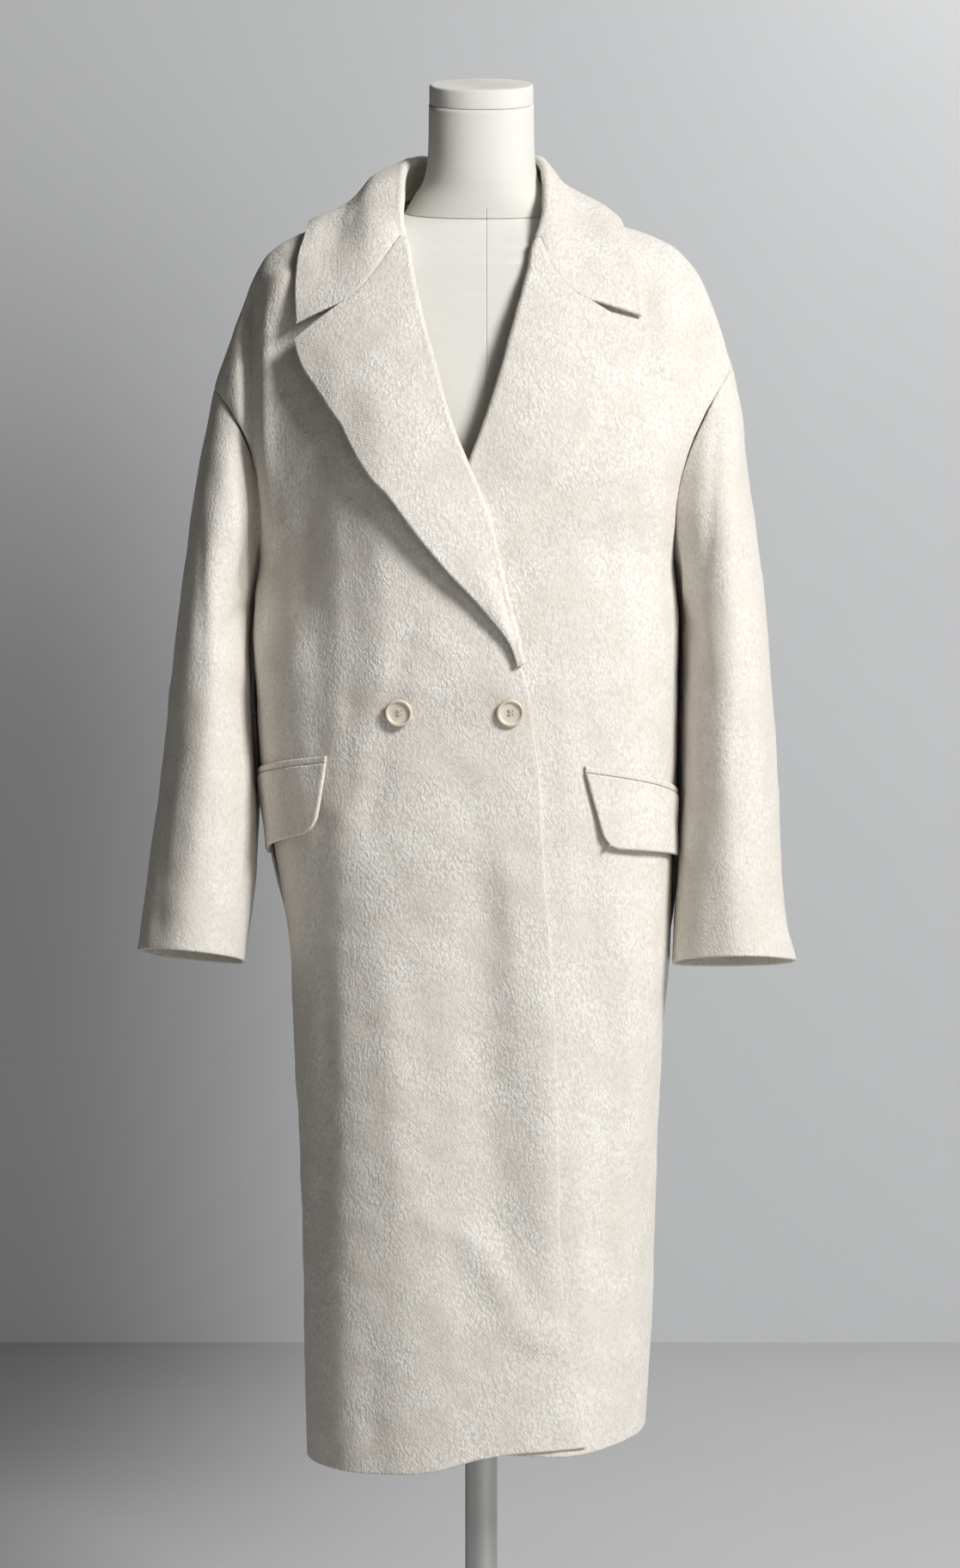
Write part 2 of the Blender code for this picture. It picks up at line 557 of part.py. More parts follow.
def back_panel(name):
    """The back, in one piece from side seam to side seam; its middle columns meet the neckline."""
    lines = body_lines()
    ends = np.ones(lines.shape)
    even = spread(ends, -ends, 2 * (len(SEAM_SHARES) + NECK_COLUMNS) + 1, level(lines)["square"])
    bend = np.linspace(0, math.pi, 2 * NECK_COLUMNS + 1)
    neck_x = NECK_X + NECK_HALF * np.cos(bend)
    neck_share = neck_x / np.where(neck_x < 0, ARMHOLE[RIGHT]["top_x"], ARMHOLE[LEFT]["top_x"])
    left, right = (end + (share - end) * SEAM_SHARES
                   for end, share in ((1, neck_share[0]), (-1, neck_share[-1])))
    top = np.concatenate((left, neck_share, right[::-1]))
    weight = ease(lines, 1.0, 1.95)
    across = even * (1 - weight) + top * weight
    grid = dressed(WHOLE, *shell(lines, across, BACK), BACK)
    return wall(name, grid, WALL, CLOTH, seam_normals(grid, lines, [0, -1]))


# ------------------------------------------------------------------------------------ lapels and collar
def turned_height(share, clear):
    """Height of a turned-back piece's outer face over the front, from its roll to its free edge."""
    return (2 * ROLL - WALL) * (1 - share) + (FACED + clear) * share


def front_ends(side):
    """The points where the level lines meet a front's end."""
    lines = body_lines()
    return dressed(side, *shell(lines, end_share(side, lines), FRONT), FRONT)[:, 0]


def front_end(side, heights):
    """Points of a front's end at some heights, on the straight pieces between its level lines."""
    end = front_ends(side)
    return points(*(np.interp(heights, end[:, 2], end[:, axis]) for axis in range(3)))


def rolled(side, heights, steps):
    """Half circles round the roll line at some heights, from behind the front's end to over the front.

    Returns their points and the outward directions there.
    """
    start = front_end(side, heights)
    out = front_normal(side, start[:, 0], heights)
    opening = unit(side * np.cross(out, start - front_end(side, heights - ROLL_REACH)))
    centre = start + opening * ROLL_CLEAR + out * (ROLL - WALL)
    turn = np.linspace(math.pi, 0, steps + 1)[None, :, None]
    facing = out[:, None] * np.cos(turn) + opening[:, None] * np.sin(turn)
    return centre[:, None] + ROLL * facing, facing


def gorge_points(side, shift):
    """The gorge seam and the notch on the front's outer face, moved out and along by a share of the gap."""
    seam = GORGE_SEAM[side]
    roll_x = front_end(side, np.array([GORGE[side]]))[0, 0]
    x = np.interp(FLAT_SHARES, seam["share"], seam["x"]) + (roll_x - seam["x"][0]) * (1 - FLAT_SHARES)
    z = np.interp(FLAT_SHARES, seam["share"], seam["height"]) + shift
    if shift > 0:
        notch = seam["share"][-2]
        beyond = np.clip((FLAT_SHARES - notch) / (1 - notch), 0, 1)
        notch_x = seam["x"][-2] + (roll_x - seam["x"][0]) * (1 - notch)
        notch_z = seam["height"][-2] + shift
        tip_x, tip_z = COLLAR_TIP[side]
        x = np.where(beyond > 0, notch_x + (tip_x - notch_x) * beyond, x)
        z = np.where(beyond > 0, notch_z + (tip_z - notch_z) * beyond, z)
    out = front_normal(side, x, z)
    return front_surface(side, x, z) + out * turned_height(FLAT_SHARES, EDGE_CLEAR[side])[:, None], out


def lapel(side, name):
    """A lapel: half a circle round the roll line, then the front's points moved out, to the free edge."""
    ends = front_ends(side)[:, 2]
    between = ends[(ends > BREAK[side] + LAPEL_ROOM) & (ends < GORGE[side] - LAPEL_ROOM)]
    roll_z = np.concatenate(([BREAK[side]], between, [GORGE[side] - GAP / 2]))
    way = (roll_z - roll_z[0]) / (roll_z[-1] - roll_z[0])
    roll_x = front_end(side, roll_z)[:, 0]
    arc, facing = rolled(side, roll_z, ROLL_STEPS)
    edge_x, edge_z = by_length(LAPEL_EDGE[side], "x", way)
    share = FLAT_SHARES[None, 1:]
    near_gorge = (way ** GORGE_HOLD)[:, None]
    seam = GORGE_SEAM[side]
    bow_x, bow_z = (np.interp(share, seam["share"], seam[key]) - seam[key][0]
                    - (seam[key][-1] - seam[key][0]) * share for key in ("x", "height"))
    x = roll_x[:, None] * (1 - share) + edge_x[:, None] * share + near_gorge * bow_x
    z = roll_z[:, None] * (1 - share) + edge_z[:, None] * share + near_gorge * (bow_z - GAP / 2)
    out = front_normal(side, x, z)
    flat = front_surface(side, x, z) + out * turned_height(share, EDGE_CLEAR[side])[..., None]
    grid = np.concatenate((arc, flat), axis=1)
    normals = grid_normals(grid[:, ::side])[:, ::side]
    normals[:, :ROLL_STEPS + 1] = facing
    normals[-1, ROLL_STEPS + 1:] = out[-1]
    return wall(name, grid[:, ::side], FACED, FACING, normals[:, ::side])


def neck_seam(side, way):
    """The neckline's edge: up the front to the shoulder seam (way 0.5), then round the back."""
    top = front_end(side, np.array([YOKE["height"][0]]))[0, 2]
    front = front_end(side, GORGE[side] + (top - GORGE[side]) * np.clip(way / 0.5, 0, 1))
    bend = np.clip((way - 0.5) / 0.5, 0, 1) * math.pi / 2
    x = NECK_X + side * NECK_HALF * np.cos(bend)
    back = points(*shell(np.full(way.shape, 2.0), x / ARMHOLE[side]["top_x"], BACK))
    return np.where(way[:, None] > 0.5, back, front)


def collar_edge(way, x, z):
    """The collar's outer edge: points of the body, in front then behind, moved out."""
    rows = []
    for face in (FRONT, BACK):
        here = body_point(face, x, z)
        beside = body_point(face, x + SLIGHT, z) - body_point(face, x - SLIGHT, z)
        lower = here - body_point(face, x, z - SLIGHT)
        out = unit(-face * np.cross(beside, lower))
        rows.append(here + out * (FACED + COLLAR_LIFT))
    return np.where(way[:, None] > 0.5, rows[1], rows[0])


def collar(name):
    """The collar: its stand inside, the fold, and the fall that lies over the shoulders."""
    way = np.linspace(0, 1, COLLAR_WAYS)
    halves = []
    for side in (RIGHT, LEFT):
        seam = neck_seam(side, way)
        above = unit(points(0.0, seam[:, 1] / STAND_LEAN, 1.0))
        inward = unit(side * np.cross(above, np.gradient(seam, axis=0)))
        foot = seam + inward * (COLLAR_CLEAR + FACED) - above * WALL
        column = {key: smooth(way, COLLAR["way"], COLLAR[key]) for key in COLLAR if key != "way"}
        tilt = side * COLLAR_TILT * column["fold_x"] * ease(way, 0.1, 0.4)
        fold = points(COLLAR_X + side * column["fold_x"], column["fold_y"], column["fold_z"] + tilt)
        edge = collar_edge(way, side * column["right_x" if side == RIGHT else "left_x"],
                           column["right_z" if side == RIGHT else "left_z"])
        gorge, above = gorge_points(side, GAP)
        near = (np.clip(1 - way / COLLAR_NEAR, 0, 1) ** 2)[:, None]
        fold = fold + near * (gorge[0] - fold[0])
        edge = edge + near * (gorge[-1] - edge[0])
        start, facing = rolled(side, np.array([GORGE[side] + GAP]), STAND_STEPS + ROLL_STEPS)
        halves.append((foot, fold, edge, near, np.concatenate((start[0], gorge[1:])),
                       np.concatenate((facing[0], above[1:]))))
    foot, fold, edge = (np.concatenate((right, left[-2::-1]))
                        for right, left in zip(halves[0][:3], halves[1][:3]))
    along = unit(np.gradient(fold, axis=0))
    out = unit(np.cross(along, edge - fold))
    inward = unit(-np.cross(out, along))
    centre = fold - out * ROLL
    reach = foot - centre
    to_foot = np.arctan2((reach * inward).sum(-1), (reach * out).sum(-1)) % (2 * math.pi)
    leave = to_foot - np.arccos(ROLL / np.linalg.norm(reach, axis=-1))
    turn = (leave * np.linspace(1, 0, ROLL_STEPS + 1)[:, None])[..., None]
    arc = centre + ROLL * (out * np.cos(turn) + inward * np.sin(turn))
    rising = foot + (arc[0] - foot) * np.linspace(0, 1, STAND_STEPS + 1)[:-1, None, None]
    share = FLAT_SHARES[1:, None, None]
    behind = ease(np.concatenate((way, way[-2::-1])), 0.5, 0.8)
    sides = np.where(np.arange(len(fold)) < COLLAR_WAYS, CROWN["right"][1:, None], CROWN["left"][1:, None])
    crown = (sides * (1 - behind) + CROWN["back"][1:, None] * behind)[..., None]
    fall = fold + (edge - fold) * share + out * crown
    grid = np.concatenate((rising, arc, fall))
    hold = np.interp(np.arange(len(grid)), (STAND_STEPS, STAND_STEPS + ROLL_STEPS), (4, 1))
    for (_, _, _, near, start, _), first, chosen, order in zip(
            halves, (0, -1), (slice(0, COLLAR_WAYS), slice(COLLAR_WAYS - 1, None)), (1, -1)):
        shift = start - grid[:, first]
        grid[:, chosen] += shift[:, None] * near[::order][None] ** hold[:, None, None]
    normals = grid_normals(grid)
    normals[:, 0] = halves[0][-1]
    normals[:, -1] = halves[1][-1]
    return wall(name, grid, FACED, FACING, normals)


# ------------------------------------------------------------------------------------ sleeves
def sleeve(side, name):
    """A sleeve: oval rings from the cuff up to the armhole, with a point for each end of a level line."""
    rows = SLEEVE[side]
    station = np.arange(len(rows["outer_x"]), dtype=float)
    at = np.linspace(station[-1], 0, SLEEVE_RINGS)
    ring = {key: smooth(at, station, rows[key])[:, None] for key in rows}
    turns = np.concatenate((YOKE_TURNS, 2 - YOKE_TURNS[-2:0:-1]))
    cosine, sine = np.cos(math.pi * turns), np.sin(math.pi * turns)
    middle = (ring["front"] + ring["back"]) / 2
    middle = np.where(at[:, None] == 0, SIDE_Y, middle)
    depth = np.where(sine > 0, middle - ring["front"], ring["back"] - middle)
    x = (ring["outer_x"] * (1 + cosine) + ring["inner_x"] * (1 - cosine)) / 2 - ring["inset"] * sine ** 2
    y = middle - depth * sine
    z = (ring["outer_z"] * (1 + cosine) + ring["inner_z"] * (1 - cosine)) / 2
    lower = ease(at, 2, 6)[:, None]
    z = z - CUFF_TILT * lower * (y - middle)
    grid = points(side * x, y, z)
    grid[-1] += np.array((side * ARMHOLE_GAP, 0, -ARMHOLE_GAP / 2))
    if side == LEFT:
        grid = grid[:, ::-1]
    return wall(name, grid, WALL, CLOTH, around=True)


# ------------------------------------------------------------------------------------ pockets and buttons
def pocket_grid(side, tops, lows, lift):
    """A grid on the front's outer face between two heights, from the flap's front edge round to the side."""
    flap = FLAP[side]
    heights = lows + (tops - lows) * np.linspace(0, 1, len(lift))[:, None]
    line = (heights - HEM) / (UNDERARM - HEM)
    size = level(line)
    lean = flap["lean"] * np.clip((flap["top"] - heights) / flap["depth"], 0, 1)
    start = (np.abs(flap["x"]) + lean[:, :1]) / size[side][:, :1]
    square = size["square"][:, :1]
    sine, cosine = math.sin(flap["reach"]), math.cos(flap["reach"])
    end = sine / (sine ** square + cosine ** square) ** (1 / square)
    across = side * spread(start, end, FLAP_COLUMNS, square)
    x, y, _ = shell(line, across, FRONT)
    grid = points(x, y - folds(FRONT, x, heights) - layer(side, x, heights) - GAP / 2, heights)
    normals = grid_normals(grid if side == LEFT else grid[:, ::-1])
    normals = normals if side == LEFT else normals[:, ::-1]
    return grid + normals * lift[..., None]


def pocket(side, flap_name, welt_name):
    """A pocket's flap, rounded at its lower front corner and flared, and the welt above it."""
    flap = FLAP[side]
    along = np.linspace(0, 1, FLAP_COLUMNS)
    length = FLAP_LENGTH * along
    tops = flap["top"] - flap["top_slope"] * length
    corner = np.clip(1 - length / FLAP_CORNER, 0, 1)
    lows = flap["top"] - flap["depth"] - flap["low_slope"] * length
    lows = lows + FLAP_CORNER * (1 - np.sqrt(1 - corner ** 2))
    down = np.linspace(1, 0, FLAP_LINES)[:, None]
    flare = flap["flare"] * down ** 1.5 * (1 - along ** 2 / 2)
    flap_grid = pocket_grid(side, tops, lows, FLAP_CLEAR + FACED + flare)
    level_lift = np.full((2, FLAP_COLUMNS), FLAP_CLEAR + WELT_THICK)
    welt_grid = pocket_grid(side, tops + GAP + WELT_HEIGHT, tops + GAP, level_lift)
    if side == RIGHT:
        flap_grid, welt_grid = flap_grid[:, ::-1], welt_grid[:, ::-1]
    wall(flap_name, flap_grid, FACED, FACING)
    wall(welt_name, welt_grid, WELT_THICK, FACING)


def button(name, x):
    """A four-hole button with a raised round rim, standing just off the right front."""
    rim = BUTTON_RADIUS
    profile = np.array([(0.6, 0.0), (0.9, 0.05), (1.0, 0.35), (1.0, 0.7), (0.95, 0.95), (0.87, 1.0),
                        (0.79, 0.9), (0.74, 0.62), (0.66, 0.55)]) * (rim, BUTTON_THICK)
    angle = np.linspace(0, 2 * math.pi, 24, endpoint=False)
    radius, height = profile[:, :1], profile[:, 1:]
    rings = points(radius * np.cos(angle), radius * np.sin(angle), height + 0 * angle)
    disc = stack(name, rings, BUTTON)
    for number, (across, up) in enumerate(((-1, -1), (1, -1), (1, 1), (-1, 1))):
        bpy.ops.mesh.primitive_cylinder_add(
            vertices=8, radius=BUTTON_HOLE, depth=4 * BUTTON_THICK,
            location=(across * BUTTON_HOLE_SPACING, up * BUTTON_HOLE_SPACING, 0))
        drill = bpy.context.object
        drill.name = f"{name}_drill_{number}"
        drill.hide_render = True
        drill.display_type = "WIRE"
        drill.parent = disc
        cut = disc.modifiers.new("hole", "BOOLEAN")
        cut.operation = "DIFFERENCE"
        cut.solver = "EXACT"
        cut.object = drill
    where, height = np.array([x]), np.array([BUTTON_HEIGHT])
    out = front_normal(RIGHT, where, height)[0]
    disc.location = front_surface(RIGHT, where, height)[0] + out * BUTTON_CLEAR
    disc.rotation_euler = (math.atan2(math.hypot(out[0], out[1]), out[2]), 0,
                           math.atan2(out[1], out[0]) + math.pi / 2)


# ------------------------------------------------------------------------------------ dress form and stand
def oval(half, front, back, height, front_slope=0.0, back_slope=0.0):
    """Rings of a rounded outline: a superellipse with its own front and back depth, and slope."""
    angle = np.linspace(0, 2 * math.pi, FORM_COLUMNS, endpoint=False)
    cosine, sine = np.cos(angle), np.sin(angle)
    scale = (np.abs(cosine) ** FORM_SQUARE + np.abs(sine) ** FORM_SQUARE) ** (-1 / FORM_SQUARE)
    half, front, back, height, front_slope, back_slope = (
        np.asarray(v, float).reshape(-1, 1) for v in (half, front, back, height, front_slope, back_slope))
    y = np.where(sine > 0, back, front) * sine * scale
    return points(half * cosine * scale, y, height + np.where(sine > 0, back_slope, front_slope) * y)


def neck_slope(height):
    """How far the torso's rings slope down to the front, fully at the foot of the neck."""
    return NECK_SLOPE * ease(height, 1.40, 1.458)


def under_cloth(ring):
    """A ring of the torso, kept inside the fronts and the back."""
    x, y, z = ring[:, 0], ring[:, 1], ring[:, 2]
    limits = [np.maximum(face * body_point(face, x, z + WALL + SEAT)[:, 1] - WALL - SEAT, 0)
              for face in (FRONT, BACK)]
    covered = ease(np.abs(x), 0.045, 0.075)
    kept = np.clip(y, -limits[0], limits[1])
    return points(x, y + (kept - y) * covered, z)


def dress_form():
    """Torso, neck and neck cap; the coat's shoulders rest on the torso's."""
    width = FORM_SHOULDER["half"]
    line = np.full(width.shape, 2.0)
    seams = [shell(line, side * width / ARMHOLE[side]["top_x"], FRONT)[2] for side in (RIGHT, LEFT)]
    heights = np.minimum(*seams) - WALL - 2 * SEAT
    rings = np.concatenate((
        oval(FORM["half"], FORM["front"], FORM["back"], FORM["height"], neck_slope(FORM["height"])),
        oval(width, FORM_SHOULDER["front"], FORM_SHOULDER["back"], heights, neck_slope(heights)),
        oval(FORM_BARE["half"], FORM_BARE["front"], FORM_BARE["back"], FORM_BARE["height"],
             neck_slope(FORM_BARE["height"]))))
    stack("form_torso", np.array([under_cloth(ring) for ring in rings]), LINEN)
    neck = oval(FORM_NECK["half"], FORM_NECK["front"], FORM_NECK["back"], FORM_NECK["height"],
                np.full(len(FORM_NECK["height"]), NECK_SLOPE),
                NECK_SLOPE * ease(FORM_NECK["height"], 1.49, 1.5628))
    stack("form_neck", neck, LINEN)
    radius = CAP_RADIUS - np.array((0, 0, 1, 4)) * CAP_ROUND / 4
    drop = np.array((0.0, CAP_ROUND, CAP_ROUND / 4, 0.0))
    low = FORM_NECK["height"][-1] + GAP
    height = np.array((low, CAP_TOP - drop[1], CAP_TOP - drop[2], CAP_TOP))
    stack("form_cap", oval(radius, radius, radius, height, *[np.full(4, NECK_SLOPE)] * 2), LINEN)


def stand():
    """The pole under the torso, and the round base that it stands on."""
    pole = np.array((BASE_THICK + GAP, FORM["height"][0] - GAP))
    stack("stand_pole", oval(*[np.full(2, POLE_RADIUS)] * 3, pole), STEEL)
    radius = np.array((BASE_RADIUS, BASE_RADIUS, BASE_RADIUS - BASE_ROUND / 3, BASE_RADIUS - BASE_ROUND))
    height = np.array((0.0, BASE_THICK - BASE_ROUND, BASE_THICK - BASE_ROUND / 3, BASE_THICK))
    stack("stand_base", oval(radius, radius, radius, height), STEEL)


def main():
    for thing in list(bpy.data.objects):
        bpy.data.objects.remove(thing, do_unlink=True)
    front_panel(RIGHT, "front_right")
    front_panel(LEFT, "front_left")
    back_panel("back")
    sleeve(RIGHT, "sleeve_right")
    sleeve(LEFT, "sleeve_left")
    lapel(RIGHT, "lapel_right")
    lapel(LEFT, "lapel_left")
    collar("collar")
    pocket(RIGHT, "flap_right", "welt_right")
    pocket(LEFT, "flap_left", "welt_left")
    button("button_middle", BUTTON_X[0])
    button("button_edge", BUTTON_X[1])
    dress_form()
    stand()


main()
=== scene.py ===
"""A long double-breasted coat of cream boucle wool, on a linen-covered dress form with its stand.

Metres, +Z up.  The coat's front faces -Y and +X is the wearer's left.  Right and left are the wearer's.

The coat is a body of cloth cut by seams.  Its surface is made of level lines: line 0 is the hem, line 1
passes the underarm and line 2 is the shoulder seam.  A level line is a quarter of a superellipse from the
middle of the front, or of the back, to the side seam or the armhole.  Lapels, collar, flaps, welts and
buttons are laid on that surface and moved out.  Every cloth piece is a shell: a grid of points on its
outer face, the cloth's thickness inward, and rims that round off at free edges and dip at seams.
"""
import math

import bpy
import numpy as np
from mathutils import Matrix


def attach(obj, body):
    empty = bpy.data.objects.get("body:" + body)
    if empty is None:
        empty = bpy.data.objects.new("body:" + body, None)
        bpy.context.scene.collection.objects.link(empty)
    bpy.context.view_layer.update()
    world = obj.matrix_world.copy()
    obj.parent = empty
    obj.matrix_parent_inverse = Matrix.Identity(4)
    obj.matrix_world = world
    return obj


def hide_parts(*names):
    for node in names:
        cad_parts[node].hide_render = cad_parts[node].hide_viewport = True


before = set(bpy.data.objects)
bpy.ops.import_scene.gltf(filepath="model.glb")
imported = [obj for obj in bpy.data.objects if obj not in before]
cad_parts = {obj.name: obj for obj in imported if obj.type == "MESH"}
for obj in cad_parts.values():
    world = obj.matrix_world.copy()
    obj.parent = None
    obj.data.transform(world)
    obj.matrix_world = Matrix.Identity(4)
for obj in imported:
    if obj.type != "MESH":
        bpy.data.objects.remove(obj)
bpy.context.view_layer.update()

# ------------------------------------------------------------------------------------ driving sizes
WALL = 0.003                 # one layer of the wool cloth
FACED = 0.004                # collar, lapels and flaps: two layers pressed together
GAP = 0.0003                 # between two pieces at a seam
RIGHT = -1
LEFT = 1
WHOLE = 0                    # both sides, for the back
FRONT = -1
BACK = 1

HEM = 0.318                  # line 0 above the floor
UNDERARM = 1.140             # line 1
SIDE_Y = 0.005               # the side and shoulder seams lie just behind the middle
HEM_FADE = 0.500             # the hem's unevenness has died away at this height


def table(columns, *rows):
    """The named columns of a table, from one row of numbers for each section."""
    return dict(zip(columns.split(), np.array(rows, float).T))


# Half widths, depths and squareness of the level lines between hem and underarm.
SKIRT = table("height right left front back square",
              (0.318, 0.1615, 0.1520, 0.135, 0.148, 2.9),
              (0.400, 0.1640, 0.1570, 0.135, 0.148, 2.9),
              (0.500, 0.1655, 0.1605, 0.135, 0.149, 2.8),
              (0.600, 0.1690, 0.1635, 0.135, 0.150, 2.8),
              (0.700, 0.1745, 0.1685, 0.136, 0.150, 2.8),
              (0.780, 0.1780, 0.1755, 0.137, 0.150, 2.7),
              (0.860, 0.1900, 0.1770, 0.138, 0.149, 2.7),
              (0.940, 0.2040, 0.1808, 0.138, 0.148, 2.6),
              (1.020, 0.2090, 0.1823, 0.137, 0.146, 2.6),
              (1.100, 0.2095, 0.1822, 0.135, 0.145, 2.5),
              (1.140, 0.2040, 0.1780, 0.134, 0.145, 2.4))

# Level lines above the underarm.  turn: where on the armhole the line ends, 1 at the underarm and 0 at
# the top; neck: how far the back's line bows out round the neck.
YOKE = table("turn height front back square neck",
             (0.00, 1.500, 0.000, 0.000, 2.0, 0.060),
             (0.06, 1.495, 0.018, 0.022, 2.0, 0.046),
             (0.15, 1.470, 0.045, 0.060, 2.0, 0.016),
             (0.25, 1.420, 0.076, 0.108, 2.1, 0.000),
             (0.36, 1.340, 0.106, 0.134, 2.2, 0.000),
             (0.50, 1.250, 0.127, 0.143, 2.3, 0.000),
             (0.70, 1.190, 0.132, 0.145, 2.4, 0.000),
             (1.00, 1.140, 0.134, 0.145, 2.4, 0.000))
# The fall of each line above the underarm, from its middle to its end: shares of it on each side.
SHOULDER = table("share right left",
                 (0.00, 0.000, 0.000), (0.30, 0.125, 0.150), (0.50, 0.210, 0.250), (0.60, 0.253, 0.291),
                 (0.70, 0.300, 0.342), (0.76, 0.340, 0.378), (0.81, 0.400, 0.437), (0.86, 0.512, 0.521),
                 (0.90, 0.643, 0.628), (0.94, 0.788, 0.768), (0.97, 0.892, 0.892), (1.00, 1.000, 1.000))

# Armholes: the top end of the seam, the underarm, and how far front and back are drawn in.
ARMHOLE = {RIGHT: dict(top_x=0.249, top_z=1.298, under_x=0.204, inset=0.020),
           LEFT: dict(top_x=0.235, top_z=1.316, under_x=0.178, inset=0.018)}
ARMHOLE_DEPTH = {FRONT: 0.062, BACK: 0.080}

NECK_X = -0.008              # middle of the neckline
NECK_HALF = 0.0865           # half its width at the shoulder seams

# The line where each front ends, as it shows: the front edge, from 'breaks' up the roll of the lapel,
# and above the gorge the neckline.
BREAK = {RIGHT: 1.036, LEFT: 1.040}
GORGE = {RIGHT: 1.428, LEFT: 1.4264}
FRONT_LINE = {
    RIGHT: table("height x",
                 (0.300, 0.0965), (0.333, 0.0941), (0.394, 0.0833), (0.465, 0.0732), (0.606, 0.0694),
                 (0.754, 0.0648), (0.862, 0.0563), (0.926, 0.0535), (0.999, 0.0439), (1.052, 0.0362),
                 (1.107, 0.0224), (1.171, 0.0069), (1.245, -0.0232), (1.315, -0.0426), (1.385, -0.0595),
                 (1.428, -0.0680), (1.447, -0.0790), (1.460, -0.0860), (1.468, -0.0893), (1.510, -0.0893)),
    LEFT: table("height x",
                (0.300, -0.1000), (0.606, -0.1000), (0.862, -0.0960), (0.999, -0.0900), (1.040, -0.0750),
                (1.130, -0.0425), (1.218, -0.0116), (1.277, 0.0093), (1.356, 0.0310), (1.397, 0.0414),
                (1.426, 0.0478), (1.447, 0.0600), (1.462, 0.0690), (1.474, 0.0733), (1.510, 0.0733))}

# Height of the hem along each front, and from side to side of the back.
HEM_LINE = {
    RIGHT: table("x height",
                 (-0.160, 0.310), (-0.090, 0.3085), (-0.045, 0.312), (0.000, 0.324), (0.100, 0.333)),
    LEFT: table("x height",
                (-0.130, 0.326), (0.040, 0.3262), (0.075, 0.3243), (0.115, 0.3290), (0.155, 0.340)),
    WHOLE: table("x height",
                 (-0.160, 0.310), (-0.060, 0.305), (0.060, 0.318), (0.155, 0.340))}

# How far the right front lies out over the left one and over its lapel, and the stretches of x and of
# height along which each of these layers comes in or dies away.
OVER_FRONT = 0.0044
OVER_FRONT_X = (-0.152, -0.124)
OVER_FRONT_TOP = (1.27, 1.35)
OVER_LAPEL = 0.0066
OVER_LAPEL_X = (-0.125, -0.085)
OVER_LAPEL_LOW = (0.975, 1.02)
OVER_LAPEL_TOP = (1.24, 1.32)

# The largest folds, as ridges (height above 0) or troughs: upper and lower end, half width, height.
FOLDS = {
    FRONT: table("top_x top_z low_x low_z width height",
                 (-0.186, 1.410, -0.194, 1.330, 0.014, 0.0050),
                 (-0.020, 0.640, 0.062, 0.440, 0.034, 0.0060),
                 (-0.128, 0.960, -0.118, 0.300, 0.030, 0.0050),
                 (-0.060, 0.880, -0.010, 0.420, 0.045, -0.0045),
                 (0.168, 1.390, 0.176, 1.290, 0.016, 0.0045),
                 (0.142, 1.180, 0.132, 0.560, 0.026, 0.0040),
                 (0.118, 0.800, 0.112, 0.300, 0.018, -0.0040)),
    BACK: table("top_x top_z low_x low_z width height",
                (-0.105, 1.250, -0.120, 0.300, 0.034, 0.0080),
                (0.000, 1.120, -0.012, 0.300, 0.048, -0.0085),
                (0.090, 1.230, 0.108, 0.300, 0.034, 0.0080),
                (-0.055, 0.760, -0.062, 0.300, 0.022, -0.0050),
                (0.052, 0.700, 0.055, 0.300, 0.022, -0.0050))}
FOLD_END = 0.18              # share of a fold's length over which each end fades

# Softer creases of each panel, as uneven as the cloth hangs: the same columns.
CREASES = {
    RIGHT: table("top_x top_z low_x low_z width height",
                 (-0.1960, 1.400, -0.2030, 1.000, 0.0090, 0.0040),
                 (0.0540, 0.800, 0.0680, 0.400, 0.0200, 0.0030),
                 (-0.062, 1.090, -0.104, 0.870, 0.012, -0.0016),
                 (-0.118, 1.020, -0.126, 0.900, 0.009, -0.0013),
                 (-0.150, 1.250, -0.172, 1.080, 0.014, -0.0022),
                 (-0.176, 1.210, -0.168, 1.000, 0.012, 0.0018),
                 (-0.020, 0.960, 0.018, 0.760, 0.015, -0.0010),
                 (0.020, 0.900, 0.034, 0.640, 0.012, 0.0012),
                 (-0.090, 0.780, -0.070, 0.520, 0.016, 0.0015),
                 (-0.140, 0.760, -0.146, 0.480, 0.010, -0.0014),
                 (-0.050, 0.560, -0.020, 0.380, 0.013, 0.0012),
                 (-0.100, 0.420, -0.096, 0.300, 0.012, -0.0012)),
    LEFT: table("top_x top_z low_x low_z width height",
                (0.110, 1.180, 0.130, 1.020, 0.014, -0.0016),
                (0.150, 1.210, 0.160, 1.060, 0.012, 0.0014),
                (0.070, 1.040, 0.084, 0.860, 0.013, 0.0011),
                (0.098, 0.900, 0.090, 0.640, 0.014, -0.0013),
                (0.134, 0.820, 0.140, 0.560, 0.010, 0.0013),
                (0.082, 0.620, 0.098, 0.380, 0.012, 0.0014),
                (0.126, 0.520, 0.120, 0.300, 0.010, -0.0012)),
    WHOLE: table("top_x top_z low_x low_z width height",
                 (-0.206, 1.160, -0.196, 0.780, 0.014, 0.0070),
                 (0.182, 1.160, 0.174, 0.780, 0.014, 0.0070),
                 (-0.150, 1.280, -0.090, 1.100, 0.018, -0.0022),
                 (0.140, 1.300, 0.080, 1.120, 0.020, -0.0024),
                 (-0.060, 1.200, -0.040, 0.900, 0.016, 0.0016),
                 (0.045, 1.160, 0.050, 0.860, 0.015, 0.0015),
                 (-0.140, 1.000, -0.146, 0.620, 0.013, -0.0018),
                 (0.136, 0.980, 0.142, 0.560, 0.014, -0.0016),
                 (-0.020, 0.900, -0.034, 0.480, 0.012, 0.0014),
                 (0.022, 0.720, 0.030, 0.340, 0.013, 0.0015),
                 (-0.090, 0.620, -0.088, 0.300, 0.012, 0.0014),
                 (0.088, 0.560, 0.084, 0.300, 0.012, 0.0013))}

